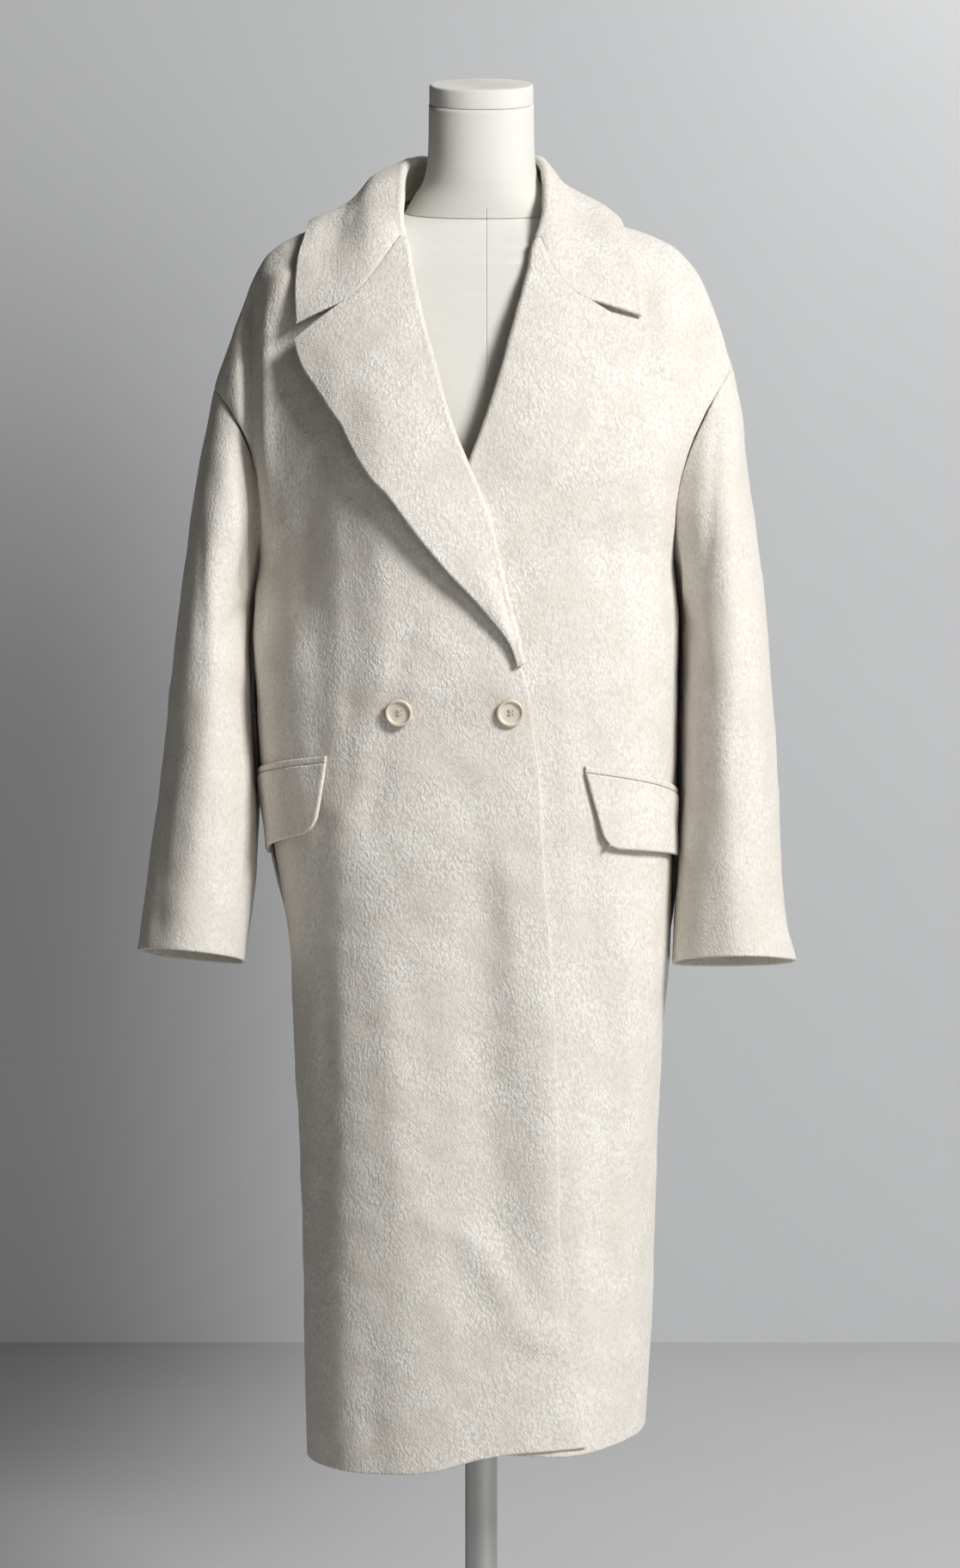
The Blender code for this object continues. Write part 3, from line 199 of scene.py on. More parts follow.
# Soft forms that overlap and underlap share, straight back into both: the same columns.
SHARED = table("top_x top_z low_x low_z width height",
               (-0.1320, 0.900, -0.1120, 0.280, 0.0360, -0.0080),
               (-0.0180, 0.640, 0.0640, 0.440, 0.0340, -0.0062),
               (-0.0040, 0.880, 0.0180, 0.465, 0.0270, -0.0060),
               (-0.0220, 0.545, 0.0600, 0.410, 0.0200, 0.0034))

# Deep tucks beside the sleeves and the hollow of the chest, straight back into front and sleeve alike.
TUCKS = {
    RIGHT: table("top_x top_z low_x low_z width height",
                 (-0.2165, 1.440, -0.2075, 1.090, 0.0085, -0.0170),
                 (-0.1840, 1.400, -0.1890, 1.030, 0.0400, -0.0170)),
    LEFT: table("top_x top_z low_x low_z width height",
                (0.2180, 1.370, 0.1790, 1.170, 0.0110, -0.0060))}
TUCK_DEPTH = 0.035           # a tuck is whole this far in front of the side seam

# Lapels and collar.
ROLL = 0.0050                # radius of the outer face where a lapel or the collar turns over
ROLL_REACH = 0.02            # the roll's direction is taken over this height
ROLL_CLEAR = 0.0007          # between a front's end and the roll
ROLL_START = (-0.02, 0.01)   # it comes in between these heights above the break
ROLL_POINTS = 15             # round the roll
STAND_POINTS = 12            # up the collar's stand
EDGE_CLEAR = {RIGHT: 0.0028, LEFT: 0.0026}        # under a lapel's free edge
LAPEL_CROWN = {RIGHT: 0.0035, LEFT: 0.0020}       # of the lapel's middle above a straight line
LAPEL_FLAT = 0.15            # the crown grows along this first share of the lapel
LAPEL_LIFT = {RIGHT: 0.0125, LEFT: 0.0022}        # how far its free edge stands off, halfway up
LAPEL_LIFT_POWER = 1.5       # how fast that dies away towards break and gorge
LAPEL_EDGE = {
    RIGHT: table("x height",
                 (0.0315, 1.0340), (0.0262, 1.0500), (0.0023, 1.0830), (-0.0346, 1.1240),
                 (-0.0685, 1.1686), (-0.0963, 1.2070), (-0.1163, 1.2390), (-0.1380, 1.2743),
                 (-0.1610, 1.3070), (-0.1700, 1.3330)),
    LEFT: table("x height",
                (-0.0655, 1.0330), (-0.0260, 1.0900), (0.0139, 1.1370), (0.0556, 1.1880),
                (0.0858, 1.2307), (0.1224, 1.2900), (0.1525, 1.3340))}
# The gorge seam from the roll line (share 0) to the notch, and on to the lapel's peak.
GORGE_SEAM = {
    RIGHT: table("share x height",
                 (0.00, -0.0732, 1.4280), (0.29, -0.0942, 1.3960), (0.47, -0.1100, 1.3760),
                 (0.61, -0.1259, 1.3650), (1.00, -0.1700, 1.3330)),
    LEFT: table("share x height",
                (0.00, 0.0530, 1.4264), (0.29, 0.0661, 1.3950), (0.47, 0.0839, 1.3745),
                (0.61, 0.0995, 1.3667), (1.00, 0.1525, 1.3340))}
GORGE_HOLD = 5               # power with which the gorge's bend dies away down the lapel
COLLAR_TIP = {RIGHT: (-0.1676, 1.3475), LEFT: (0.1460, 1.3540)}

# Half of the collar, from the gorge (way 0) over the shoulder (0.5) to the middle of the back (1).
# fold: its top edge, x measured from the collar's middle; the outer edge's x and height on each side.
COLLAR_X = -0.007
COLLAR_TILT = 0.015          # the collar sits a little higher on the wearer's left
COLLAR_TILTED = (0.1, 0.4)   # which comes in along this stretch of the way
COLLAR = table("way fold_x fold_y fold_z right_x right_z left_x left_z",
               (0.00, 0.0580, -0.066, 1.428, 0.1700, 1.352, 0.1455, 1.357),
               (0.12, 0.0670, -0.055, 1.455, 0.1695, 1.382, 0.1420, 1.384),
               (0.25, 0.0695, -0.038, 1.479, 0.1665, 1.408, 0.1380, 1.410),
               (0.38, 0.0695, -0.018, 1.499, 0.1620, 1.428, 0.1315, 1.434),
               (0.50, 0.0675, 0.004, 1.510, 0.1555, 1.445, 0.1255, 1.4480),
               (0.62, 0.0615, 0.030, 1.517, 0.1450, 1.442, 0.1165, 1.447),
               (0.75, 0.0470, 0.052, 1.520, 0.1180, 1.438, 0.0960, 1.442),
               (0.88, 0.0250, 0.066, 1.522, 0.0660, 1.434, 0.0500, 1.436),
               (1.00, 0.0000, 0.071, 1.523, 0.0100, 1.432, -0.0100, 1.432))
COLLAR_LIFT = 0.0050         # of its outer edge over the shoulders and the back
# The fall's crown above a straight line from fold to edge, by share, on each side and behind.
CROWN = table("share right left back",
              (0.00, 0.0, 0.0, 0.0), (0.145, 0.003, -0.003, 0.002), (0.29, 0.004, -0.006, 0.004),
              (0.47, -0.001, -0.005, 0.005), (0.61, -0.004, -0.003, 0.004), (0.74, -0.003, -0.001, 0.003),
              (0.87, -0.001, 0.0, 0.001), (1.00, 0.0, 0.0, 0.0))
STAND_LEAN = 0.050           # in front of the shoulder seam by this, the cloth slopes at 45 degrees
COLLAR_CLEAR = 0.0010        # between the stand and the neckline's edge
COLLAR_NEAR = 0.30           # this share of the collar takes over the lapel's form
COLLAR_HOLD = (4, 1)         # powers with which that dies away, on the stand and on the fall
COLLAR_BACK = (0.5, 0.8)     # the crown turns into the back's along this stretch of the way

# Sleeves, ring by ring from the armhole to the cuff: outer and inner side as they show from the front,
# front and back, and how far front and back are drawn in towards the body.
SLEEVE = {
    RIGHT: table("outer_x outer_z inner_x inner_z front back inset",
                 (0.2490, 1.298, 0.2040, 1.140, -0.057, 0.085, 0.020),
                 (0.2575, 1.255, 0.2090, 1.122, -0.072, 0.092, 0.010),
                 (0.2672, 1.200, 0.2128, 1.102, -0.080, 0.094, 0.004),
                 (0.2736, 1.150, 0.2145, 1.080, -0.084, 0.090, 0.0),
                 (0.2803, 1.095, 0.2148, 1.050, -0.087, 0.083, 0.0),
                 (0.2893, 1.010, 0.2128, 0.985, -0.092, 0.070, 0.0),
                 (0.2975, 0.930, 0.2085, 0.915, -0.096, 0.056, 0.0),
                 (0.3075, 0.850, 0.2105, 0.840, -0.100, 0.038, 0.0),
                 (0.3170, 0.776, 0.2185, 0.767, -0.104, 0.020, 0.0)),
    LEFT: table("outer_x outer_z inner_x inner_z front back inset",
                (0.2350, 1.316, 0.1780, 1.140, -0.057, 0.085, 0.018),
                (0.2430, 1.275, 0.1822, 1.122, -0.072, 0.092, 0.009),
                (0.2490, 1.215, 0.1852, 1.102, -0.080, 0.094, 0.004),
                (0.2560, 1.160, 0.1866, 1.080, -0.084, 0.090, 0.0),
                (0.2640, 1.095, 0.1868, 1.050, -0.087, 0.083, 0.0),
                (0.2700, 1.010, 0.1862, 0.985, -0.092, 0.070, 0.0),
                (0.2745, 0.930, 0.1848, 0.915, -0.096, 0.056, 0.0),
                (0.2768, 0.860, 0.1815, 0.850, -0.100, 0.040, 0.0),
                (0.2795, 0.811, 0.1780, 0.806, -0.102, 0.029, 0.0),
                (0.2900, 0.767, 0.1760, 0.766, -0.104, 0.020, 0.0))}
CUFF_TILT = 0.12             # the back of the cuff hangs lower than the front
CUFF_TILTED = (2, 6)         # which comes in between these rows
CREASE_END = (-0.15, 0.20)   # a sleeve's crease fades in along this stretch of its own length
# Creases of each sleeve.  turn: round the sleeve, 0 on top, 0.5 in front, 1 under the arm, 1.5 behind;
# way: down the sleeve, 0 at the armhole and 1 at the cuff; width in metres, height outward.
SLEEVE_CREASES = {
    RIGHT: table("top_turn top_way low_turn low_way width height",
                 (1.20, 0.02, 1.22, 1.10, 0.020, 0.0090),
                 (0.62, 0.02, 0.80, 0.30, 0.012, -0.0040),
                 (0.45, 0.00, 0.60, 0.22, 0.014, 0.0025),
                 (0.30, 0.30, 0.50, 0.62, 0.016, -0.0020),
                 (0.86, 0.30, 0.62, 0.52, 0.010, -0.0022),
                 (0.55, 0.56, 0.46, 0.98, 0.018, 0.0022),
                 (0.20, 0.66, 0.30, 1.00, 0.014, -0.0018),
                 (1.30, 0.05, 1.16, 0.34, 0.012, -0.0038),
                 (1.48, 0.02, 1.36, 0.30, 0.016, 0.0026),
                 (1.20, 0.40, 1.40, 0.56, 0.012, -0.0030),
                 (1.66, 0.46, 1.42, 0.60, 0.014, -0.0024),
                 (1.52, 0.66, 1.60, 1.00, 0.016, 0.0020)),
    LEFT: table("top_turn top_way low_turn low_way width height",
                (1.20, 0.02, 1.22, 1.10, 0.020, 0.0090),
                (0.30, 0.03, 0.66, 0.28, 0.018, -0.0026),
                (0.16, 0.04, 0.44, 0.34, 0.020, 0.0022),
                (0.70, 0.02, 0.86, 0.28, 0.010, 0.0026),
                (0.34, 0.34, 0.46, 0.66, 0.018, -0.0022),
                (0.84, 0.34, 0.66, 0.54, 0.011, -0.0022),
                (0.56, 0.60, 0.50, 1.00, 0.016, 0.0022),
                (0.22, 0.62, 0.26, 1.00, 0.014, -0.0016),
                (1.34, 0.04, 1.18, 0.32, 0.012, -0.0040),
                (1.52, 0.02, 1.38, 0.28, 0.016, 0.0028),
                (1.22, 0.42, 1.42, 0.58, 0.012, -0.0030),
                (1.60, 0.48, 1.40, 0.64, 0.013, -0.0022),
                (1.50, 0.70, 1.58, 1.00, 0.016, 0.0018))}

# Pocket flaps: front top corner, length round the body, depth, slopes and flare.
# reach: the angle of the flap's rear edge, round from the middle of the front.
FLAP = {RIGHT: dict(x=-0.1385, top=0.9490, depth=0.062, top_slope=0.10, low_slope=0.16, lean=0.006,
                    flare=0.006, reach=math.radians(86)),
        LEFT: dict(x=0.0925, top=0.9400, depth=0.068, top_slope=0.16, low_slope=0.06, lean=0.018,
                   flare=0.004, reach=math.radians(74))}
FLAP_LENGTH = 0.125
FLAP_CORNER = 0.014
FLAP_CLEAR = 0.0008
WELT_HEIGHT = 0.0060
WELT_THICK = 0.0030

# Buttons, on the right front.
BUTTON_X = {"middle": -0.0736, "edge": 0.0258}
BUTTON_HEIGHT = 0.9940
BUTTON_RADIUS = 0.0125
BUTTON_THICK = 0.0040
BUTTON_CLEAR = 0.0009
BUTTON_HOLE = 0.0009
BUTTON_HOLE_SPACING = 0.0017
THREAD = 0.00045             # radius of the sewing thread's strand

# The dress form, its neck and its stand.
SEAT = 0.0008                # between the form's shoulders and the cloth that rests on them
FORM = table("height half front back",
             (0.770, 0.120, 0.070, 0.085), (0.776, 0.138, 0.084, 0.100), (0.795, 0.150, 0.093, 0.110),
             (0.850, 0.156, 0.097, 0.113), (0.920, 0.154, 0.096, 0.108), (0.990, 0.140, 0.090, 0.096),
             (1.050, 0.130, 0.089, 0.089), (1.110, 0.132, 0.096, 0.090), (1.170, 0.140, 0.106, 0.094),
             (1.220, 0.148, 0.109, 0.098), (1.270, 0.158, 0.103, 0.101), (1.320, 0.168, 0.090, 0.100),
             (1.365, 0.176, 0.080, 0.093), (1.395, 0.178, 0.074, 0.082), (1.412, 0.176, 0.070, 0.075),
             (1.425, 0.172, 0.062, 0.068))
FORM_SHOULDER = table("half front back",
                      (0.166, 0.060, 0.066), (0.150, 0.057, 0.062), (0.135, 0.053, 0.058),
                      (0.120, 0.050, 0.055), (0.108, 0.047, 0.053))
FORM_BARE = table("half front back height",
                  (0.094, 0.044, 0.049, 1.4565), (0.083, 0.043, 0.047, 1.4590), (0.072, 0.042, 0.045, 1.4615))
FORM_NECK = table("height half front back",
                  (1.4618, 0.0715, 0.0420, 0.0450), (1.4770, 0.0625, 0.0450, 0.0480),
                  (1.4900, 0.0545, 0.0470, 0.0490), (1.5020, 0.0512, 0.0485, 0.0492),
                  (1.5200, 0.0495, 0.0490, 0.0490), (1.5628, 0.0488, 0.0488, 0.0488))
FORM_SQUARE = 2.2
FORM_COVERED = (0.045, 0.075)                     # the cloth covers the form from here outward
NECK_FOOT = (1.40, 1.458)    # the torso's rings slope more and more between these heights
NECK_TOP = (1.49, 1.5628)    # and so does the back of the neck's
CAP_TOP = 1.5815
CAP_RADIUS = 0.0484
CAP_ROUND = 0.0025
NECK_SLOPE = math.tan(math.radians(15.8))         # the top of the neck slopes down to the front
POLE_RADIUS = 0.015
BASE_RADIUS = 0.190
BASE_THICK = 0.014
BASE_ROUND = 0.004           # radius of its upper edge
BASE_FOOT = 0.001            # bevel of its lower edge

# Spacing of the grids' points.
CLOTH_STEP = 0.0033
BACK_STEP = 0.0042
FINE_STEP = 0.0022           # lapels, collar and flaps
WELT_STEP = 0.0010
FORM_COLUMNS = 160
# About the longest run that each grid covers.
FRONT_RUN = 0.34             # across a front
SEAM_RUN = 0.16              # along one of the back's shoulder seams
NECK_RUN = 0.22              # round the back of the neck
LAPEL_RUN = 0.43             # up the roll line
LAPEL_ACROSS = 0.125
COLLAR_RUN = 0.26            # from the gorge to the middle of the back
COLLAR_ACROSS = 0.095        # down the fall
SLEEVE_RUN = 0.53
SLEEVE_AROUND = 0.42
BACK_GATHER = (1.0, 1.95)    # the back's columns move to its two seams between these level lines

SLIGHT = 0.002               # slopes of a surface are taken over twice this
LINE_SAMPLES = 600           # with which the run up the middle of the front is measured
RELAX_LINES = 9              # the break at a level line is evened out over about so many lines
RELAX_ROUNDS = 60
HALVINGS = 22                # steps of each search by halving


# ------------------------------------------------------------------------------------ curve helpers
def smooth(at, knots, values):
    """Cubic curve through a table's rows, each row's slope taken from its two neighbours."""
    slopes = np.gradient(values, knots)
    i = np.clip(np.searchsorted(knots, at, side="right") - 1, 0, len(knots) - 2)
    span = knots[i + 1] - knots[i]
    t = np.clip((at - knots[i]) / span, 0, 1)
    return (values[i] * (1 + 2 * t) * (1 - t) ** 2 + slopes[i] * span * t * (1 - t) ** 2
            + values[i + 1] * t * t * (3 - 2 * t) + slopes[i + 1] * span * t * t * (t - 1))


def ease(value, low, high):
    """0 below low, 1 above high and an S curve between."""
    t = np.clip((value - low) / (high - low), 0, 1)
    return t * t * (3 - 2 * t)


def unit(vectors):
    """The vectors at length 1."""
    return vectors / np.linalg.norm(vectors, axis=-1, keepdims=True)


def points(*coordinates):
    """One array of points from arrays of x, y and z."""
    return np.stack(np.broadcast_arrays(*coordinates), axis=-1)


def by_length(curve, x, share):
    """The point at a share of a tabled curve's length; returns x and height."""
    steps = np.hypot(np.diff(curve[x]), np.diff(curve["height"]))
    along = np.concatenate(([0.0], np.cumsum(steps))) / steps.sum()
    return smooth(share, along, curve[x]), smooth(share, along, curve["height"])


def count(length, step):
    """How many points stand a step apart along a length, ends included."""
    return int(round(length / step)) + 1


def grid_normals(grid, around=False):
    """Outward unit normals of a grid whose columns run anticlockwise and rows upward, seen from outside."""
    if around:
        across = np.roll(grid, -1, axis=1) - np.roll(grid, 1, axis=1)
    else:
        across = np.gradient(grid, axis=1)
    return unit(np.cross(across, np.gradient(grid, axis=0)))


def waves(place, seed):
    """Uneven ground for the cloth at points in space: the sum of n random sine waves, over the root of n."""
    draw = np.random.default_rng(seed)
    directions = unit(draw.normal(size=(WAVE_NUMBER, 3)))
    lengths = draw.uniform(*WAVE_SPAN, WAVE_NUMBER)
    starts = draw.uniform(0, 2 * math.pi, WAVE_NUMBER)
    total = np.zeros(place.shape[:-1])
    for direction, length, start in zip(directions, lengths, starts):
        total += np.sin(place @ direction * (2 * math.pi / length) + start)
    return total / math.sqrt(WAVE_NUMBER)


# ------------------------------------------------------------------------------------ the body's surface
def level(line):
    """Sizes of a level line: 0 is the hem, 1 the underarm and 2 the shoulder seam."""
    low = HEM + (UNDERARM - HEM) * np.clip(line, 0, 1)
    turn = np.clip(2 - line, 0, 1)
    size = {name: np.where(line > 1, smooth(turn, YOKE["turn"], YOKE[name]),
                           smooth(low, SKIRT["height"], SKIRT[name]))
            for name in ("front", "back", "square")}
    size["height"] = np.where(line > 1, smooth(turn, YOKE["turn"], YOKE["height"]), low)
    size["neck"] = np.where(line > 1, smooth(turn, YOKE["turn"], YOKE["neck"]), 0)
    size[RIGHT] = smooth(low, SKIRT["height"], SKIRT["right"])
    size[LEFT] = smooth(low, SKIRT["height"], SKIRT["left"])
    return size


def armhole(side, turn, face):
    """A point of the armhole: half an ellipse from its top (turn 0) to the underarm (turn 1)."""
    hole = ARMHOLE[side]
    cosine, sine = np.cos(math.pi * turn), np.sin(math.pi * turn)
    x = (hole["top_x"] * (1 + cosine) + hole["under_x"] * (1 - cosine)) / 2 - hole["inset"] * sine ** 2
    z = (hole["top_z"] * (1 + cosine) + UNDERARM * (1 - cosine)) / 2
    return side * x, SIDE_Y + face * ARMHOLE_DEPTH[face] * sine, z


def line_end(side, line, face):
    """Where a level line ends: on the side seam, or above the underarm on the armhole."""
    size = level(line)
    arm_x, arm_y, arm_z = armhole(side, np.clip(2 - line, 0, 1), face)
    above = line > 1
    return (np.where(above, arm_x, side * size[side]), np.where(above, arm_y, SIDE_Y),
            np.where(above, arm_z, size["height"]))


def shell(line, across, face):
    """A point of the body: across is the share of the half width, from -1 (right) to 1 (left).

    With s the share and n the line's squareness, the depth there is the line's depth times (1 - s^n)^(1/n);
    the height falls from the line's middle to its end by the shoulder's shares.
    """
    size = level(line)
    right_end, left_end = (line_end(side, line, face) for side in (RIGHT, LEFT))
    end_x, end_y, end_z = (np.where(across < 0, r, l) for r, l in zip(right_end, left_end))
    share = np.clip(np.abs(across), 0, 1)
    inward = (1 - share ** size["square"]) ** (1 / size["square"])
    depth = size["front"] if face == FRONT else size["back"]
    x = np.abs(end_x) * across
    y = end_y + (face * depth - end_y) * inward
    fall = np.where(across < 0, smooth(share, SHOULDER["share"], SHOULDER["right"]),
                    smooth(share, SHOULDER["share"], SHOULDER["left"]))
    z = size["height"] + (end_z - size["height"]) * fall
    if face == BACK:
        bow = np.sqrt(np.clip(1 - ((x - NECK_X) / NECK_HALF) ** 2, 0, 1))
        y = y + size["neck"] * bow
    return x, y, z


def search(low, high, too_far):
    """The value between low and high where too_far turns true, found by halving."""
    for _ in range(HALVINGS):
        middle = (low + high) / 2
        far = too_far(middle)
        low, high = np.where(far, low, middle), np.where(far, middle, high)
    return low


def at_x(line, x, face):
    """The point of a level line at x."""
    right, left = (np.abs(line_end(side, line, face)[0]) for side in (RIGHT, LEFT))
    return shell(line, x / np.where(x < 0, right, left), face)


def body_point(face, x, z):
    """A point of the body's surface at x and z, in front or behind."""
    shape = np.shape(x + z)
    line = search(np.zeros(shape), np.full(shape, 2.0), lambda line: at_x(line, x, face)[2] > z)
    return points(x, at_x(line, x, face)[1], z)


def front_line(side, z):
    """x of a front's end; the roll's own radius lies beyond it, so the line that shows is further out."""
    rolled = ease(z - BREAK[side], *ROLL_START)
    return smooth(z, FRONT_LINE[side]["height"], FRONT_LINE[side]["x"]) + side * rolled * (ROLL + GAP)


def furrows(rows, x, z):
    """Sum of folds or creases: a bell curve across each one, faded at its ends above the hem."""
    total = np.zeros(np.shape(x))
    for top_x, top_z, low_x, low_z, width, height in zip(*rows.values()):
        along = (z - low_z) / (top_z - low_z)
        middle = low_x + (top_x - low_x) * along
        low_fade = np.where(low_z > HEM, ease(along, 0, FOLD_END), 1)
        fade = low_fade * ease(1 - along, 0, FOLD_END)
        total = total + height * np.exp(-((x - middle) / width) ** 2) * fade
    return total


def tucked(grid, *tables):
    """A grid of points moved straight back or forward by the furrows of some tables, in front only."""
    x, y, z = np.moveaxis(grid, -1, 0)
    return points(x, y - sum(furrows(rows, x, z) for rows in tables) * ease(SIDE_Y - y, 0, TUCK_DEPTH), z)


def relaxed(grid, line):
    """A grid with the break at one of its level lines evened out, and left as it is at its two ends."""
    rows, columns = np.arange(len(grid))[:, None, None], np.arange(grid.shape[1])[None, :, None]
    weight = np.exp(-((rows - line) / RELAX_LINES) ** 2)
    weight = weight * ease(np.minimum(columns, columns[:, ::-1]), 0, RELAX_LINES)
    for _ in range(RELAX_ROUNDS):
        grid = grid + weight * (np.roll(grid, 1, axis=0) + np.roll(grid, -1, axis=0) - 2 * grid) / 3
    return grid


def layer(side, x, z):
    """How far a front stands out where it covers the other front and its lapel."""
    if side != RIGHT:
        return np.zeros(np.shape(x))
    over_front = OVER_FRONT * ease(x, *OVER_FRONT_X) * (1 - ease(z, *OVER_FRONT_TOP))
    over_lapel = OVER_LAPEL * ease(x, *OVER_LAPEL_X) * ease(z, *OVER_LAPEL_LOW)
    return over_front + over_lapel * (1 - ease(z, *OVER_LAPEL_TOP))


def dressed(side, x, y, z, face):
    """Points of a panel: the body's surface with the layers, the folds and the hem's line."""
    out = furrows(FOLDS[face], x, z) + layer(side, x, z)
    rise = smooth(x, HEM_LINE[side]["x"], HEM_LINE[side]["height"]) - HEM
    return points(x, y + face * (out + GAP / 2), z + rise * np.clip((HEM_FADE - z) / (HEM_FADE - HEM), 0, 1))


def front_surface(side, x, z):
    """A front's outer face at x and z, as points."""
    y = body_point(FRONT, x, z)[..., 1]
    return points(x, y - furrows(FOLDS[FRONT], x, z) - layer(side, x, z) - GAP / 2, z)


def front_normal(side, x, z):
    """The outward direction of a front's outer face, from its slopes."""
    slope_x = (front_surface(side, x + SLIGHT, z) - front_surface(side, x - SLIGHT, z))[..., 1] / (2 * SLIGHT)
    slope_z = (front_surface(side, x, z + SLIGHT) - front_surface(side, x, z - SLIGHT))[..., 1] / (2 * SLIGHT)
    return unit(points(slope_x, -1.0, slope_z))


# ------------------------------------------------------------------------------------ meshes
RIM_SHARES = np.array([0.05, 0.22, 0.55, 1.0])    # of the rim's radius, where a free edge rounds off
RIM_LEAST = 0.10             # share of the thickness left at the very edge
RIM_MOST = 0.85              # the rim ends at this share of the first step, where the step is short
END_SHARES = (0.66, 0.33, 0.02)                   # of its end ring, where a solid's end has its rings
WAVE_SPAN = (0.018, 0.075)   # lengths of the cloth's random waves
WAVE_NUMBER = 28
FREE = 1                     # kinds of border
SEAM = 0
SEAM_DIP = 0.0006            # depth of the soft valley along a seam
SEAM_WIDTH = 0.006           # to each side of it


def mesh_object(name, vertices, faces, finish, uv=None):
    """A named, smooth-shaded object from vertices, four-cornered faces and each vertex's point of the cut."""
    mesh = bpy.data.meshes.new(name)
    mesh.vertices.add(len(vertices))
    mesh.vertices.foreach_set("co", vertices.astype(np.float32).ravel())
    mesh.loops.add(faces.size)
    mesh.loops.foreach_set("vertex_index", faces.astype(np.int32).ravel())
    mesh.polygons.add(len(faces))
    mesh.polygons.foreach_set("loop_start", np.arange(0, faces.size, 4, dtype=np.int32))
    if uv is not None:
        cut = mesh.uv_layers.new(name="cut")
        cut.uv.foreach_set("vector", uv[faces.ravel()].astype(np.float32).ravel())
    mesh.update(calc_edges=True)
    mesh.validate()
    mesh.materials.append(finish)
    mesh.shade_smooth()
    thing = bpy.data.objects.new(name, mesh)
    bpy.context.scene.collection.objects.link(thing)
    return thing


def quads(first, second, third, fourth):
    """Four-cornered faces from four arrays of vertex numbers."""
    return np.stack((first, second, third, fourth), axis=-1).reshape(-1, 4)


def lines_at_rim(grid, radius, axis, ends):
    """Adds lines of points close to a grid's first and last line, along the first straight step there."""
    grid = np.moveaxis(grid, axis, 0)
    for end in (0, 1):
        if ends[end]:
            grid = grid[::-1] if end else grid
            step = grid[1] - grid[0]
            length = np.linalg.norm(step, axis=-1)[..., None]
            share = np.minimum(radius / length, RIM_MOST)
            extra = grid[0] + step * share * RIM_SHARES[:, None, None]
            grid = np.concatenate((grid[:1], extra, grid[1:]))
            grid = grid[::-1] if end else grid
    return np.moveaxis(grid, 0, axis)


def beyond_rim(border):
    """A border's list of kinds with an entry more for each line that the rims add at its two ends."""
    rim = len(RIM_SHARES)
    return np.pad(border, rim, mode="edge") if np.ndim(border) else border


def run_along(grid, axis):
    """How far each point lies from the grid's first and from its last line, along its own row or column."""
    steps = np.linalg.norm(np.diff(grid, axis=axis), axis=-1)
    start = np.zeros_like(np.take(steps, [0], axis))
    before = np.concatenate((start, np.cumsum(steps, axis=axis)), axis=axis)
    return before, np.take(before, [-1], axis) - before


def cloth(name, grid, thickness, finish, low=FREE, high=FREE, first=FREE, last=FREE,
          around=False, uneven=0.0, seed=1):
    """A shell of cloth.  Its borders are free edges, which round off, or seams, which dip.

    At a distance d from a free edge, and with r half the thickness, both faces lie r * sqrt(1 - (1 - d/r)^2)
    from the middle of the cloth.  At a distance d from a seam the outer face sinks by the dip's depth times
    (1 - d/width)^2.  'uneven' is the height of the random waves that a hand-pressed cloth keeps.
    A border is FREE (1), SEAM (0) or a list of both, one for each of its points.
    """
    radius = thickness / 2
    low, high, first, last = (beyond_rim(border) for border in (low, high, first, last))
    grid = lines_at_rim(grid, radius, 0, (np.any(low), np.any(high)))
    if not around:
        grid = lines_at_rim(grid, radius, 1, (np.any(first), np.any(last)))
    normals = grid_normals(grid, around)
    far = [run_along(grid, 0)] + ([] if around else [run_along(grid, 1)])
    kinds = ((low, high), (first, last))
    half = np.ones(grid.shape[:2])
    dip = np.zeros(grid.shape[:2])
    for axis, ((before, after), (start, end)) in enumerate(zip(far, kinds)):
        for distance, free in ((before, start), (after, end)):
            free = free if axis or not np.ndim(free) else free[None]
            free = free[:, None] if axis and np.ndim(free) else free
            share = np.clip(distance / radius, 0, 1)
            half = np.minimum(half, 1 + free * (np.sqrt(1 - (1 - share) ** 2) - 1))
            dip = np.maximum(dip, (1 - free) * SEAM_DIP * np.clip(1 - distance / SEAM_WIDTH, 0, 1) ** 2)
    half = radius * np.maximum(half, RIM_LEAST)
    lift = uneven * waves(grid, seed) if uneven else np.zeros(grid.shape[:2])
    middle = grid - normals * (radius - lift)[..., None]
    outer = middle + normals * (half - dip)[..., None]
    inner = middle - normals * half[..., None]
    rows, columns = grid.shape[:2]
    number = np.arange(rows * columns).reshape(rows, columns)
    u = far[-1][0] if not around else np.broadcast_to(
        np.linalg.norm(grid - np.roll(grid, 1, axis=1), axis=-1).mean() * np.arange(columns), (rows, columns))
    uv = np.stack((u, far[0][0]), axis=-1).reshape(-1, 2)
    if around:
        number = np.concatenate((number, number[:, :1]), axis=1)
    inside = number + rows * columns
    faces = [quads(number[:-1, :-1], number[:-1, 1:], number[1:, 1:], number[1:, :-1]),
             quads(inside[:-1, :-1], inside[1:, :-1], inside[1:, 1:], inside[:-1, 1:]),
             quads(inside[0, :-1], inside[0, 1:], number[0, 1:], number[0, :-1]),
             quads(number[-1, :-1], number[-1, 1:], inside[-1, 1:], inside[-1, :-1])]
    if not around:
        faces += [quads(number[:-1, 0], number[1:, 0], inside[1:, 0], inside[:-1, 0]),
                  quads(inside[:-1, -1], inside[1:, -1], number[1:, -1], number[:-1, -1])]
    vertices = np.concatenate((outer, inner)).reshape(-1, 3)
    return mesh_object(name, vertices, np.concatenate(faces), finish, np.concatenate((uv, uv)))


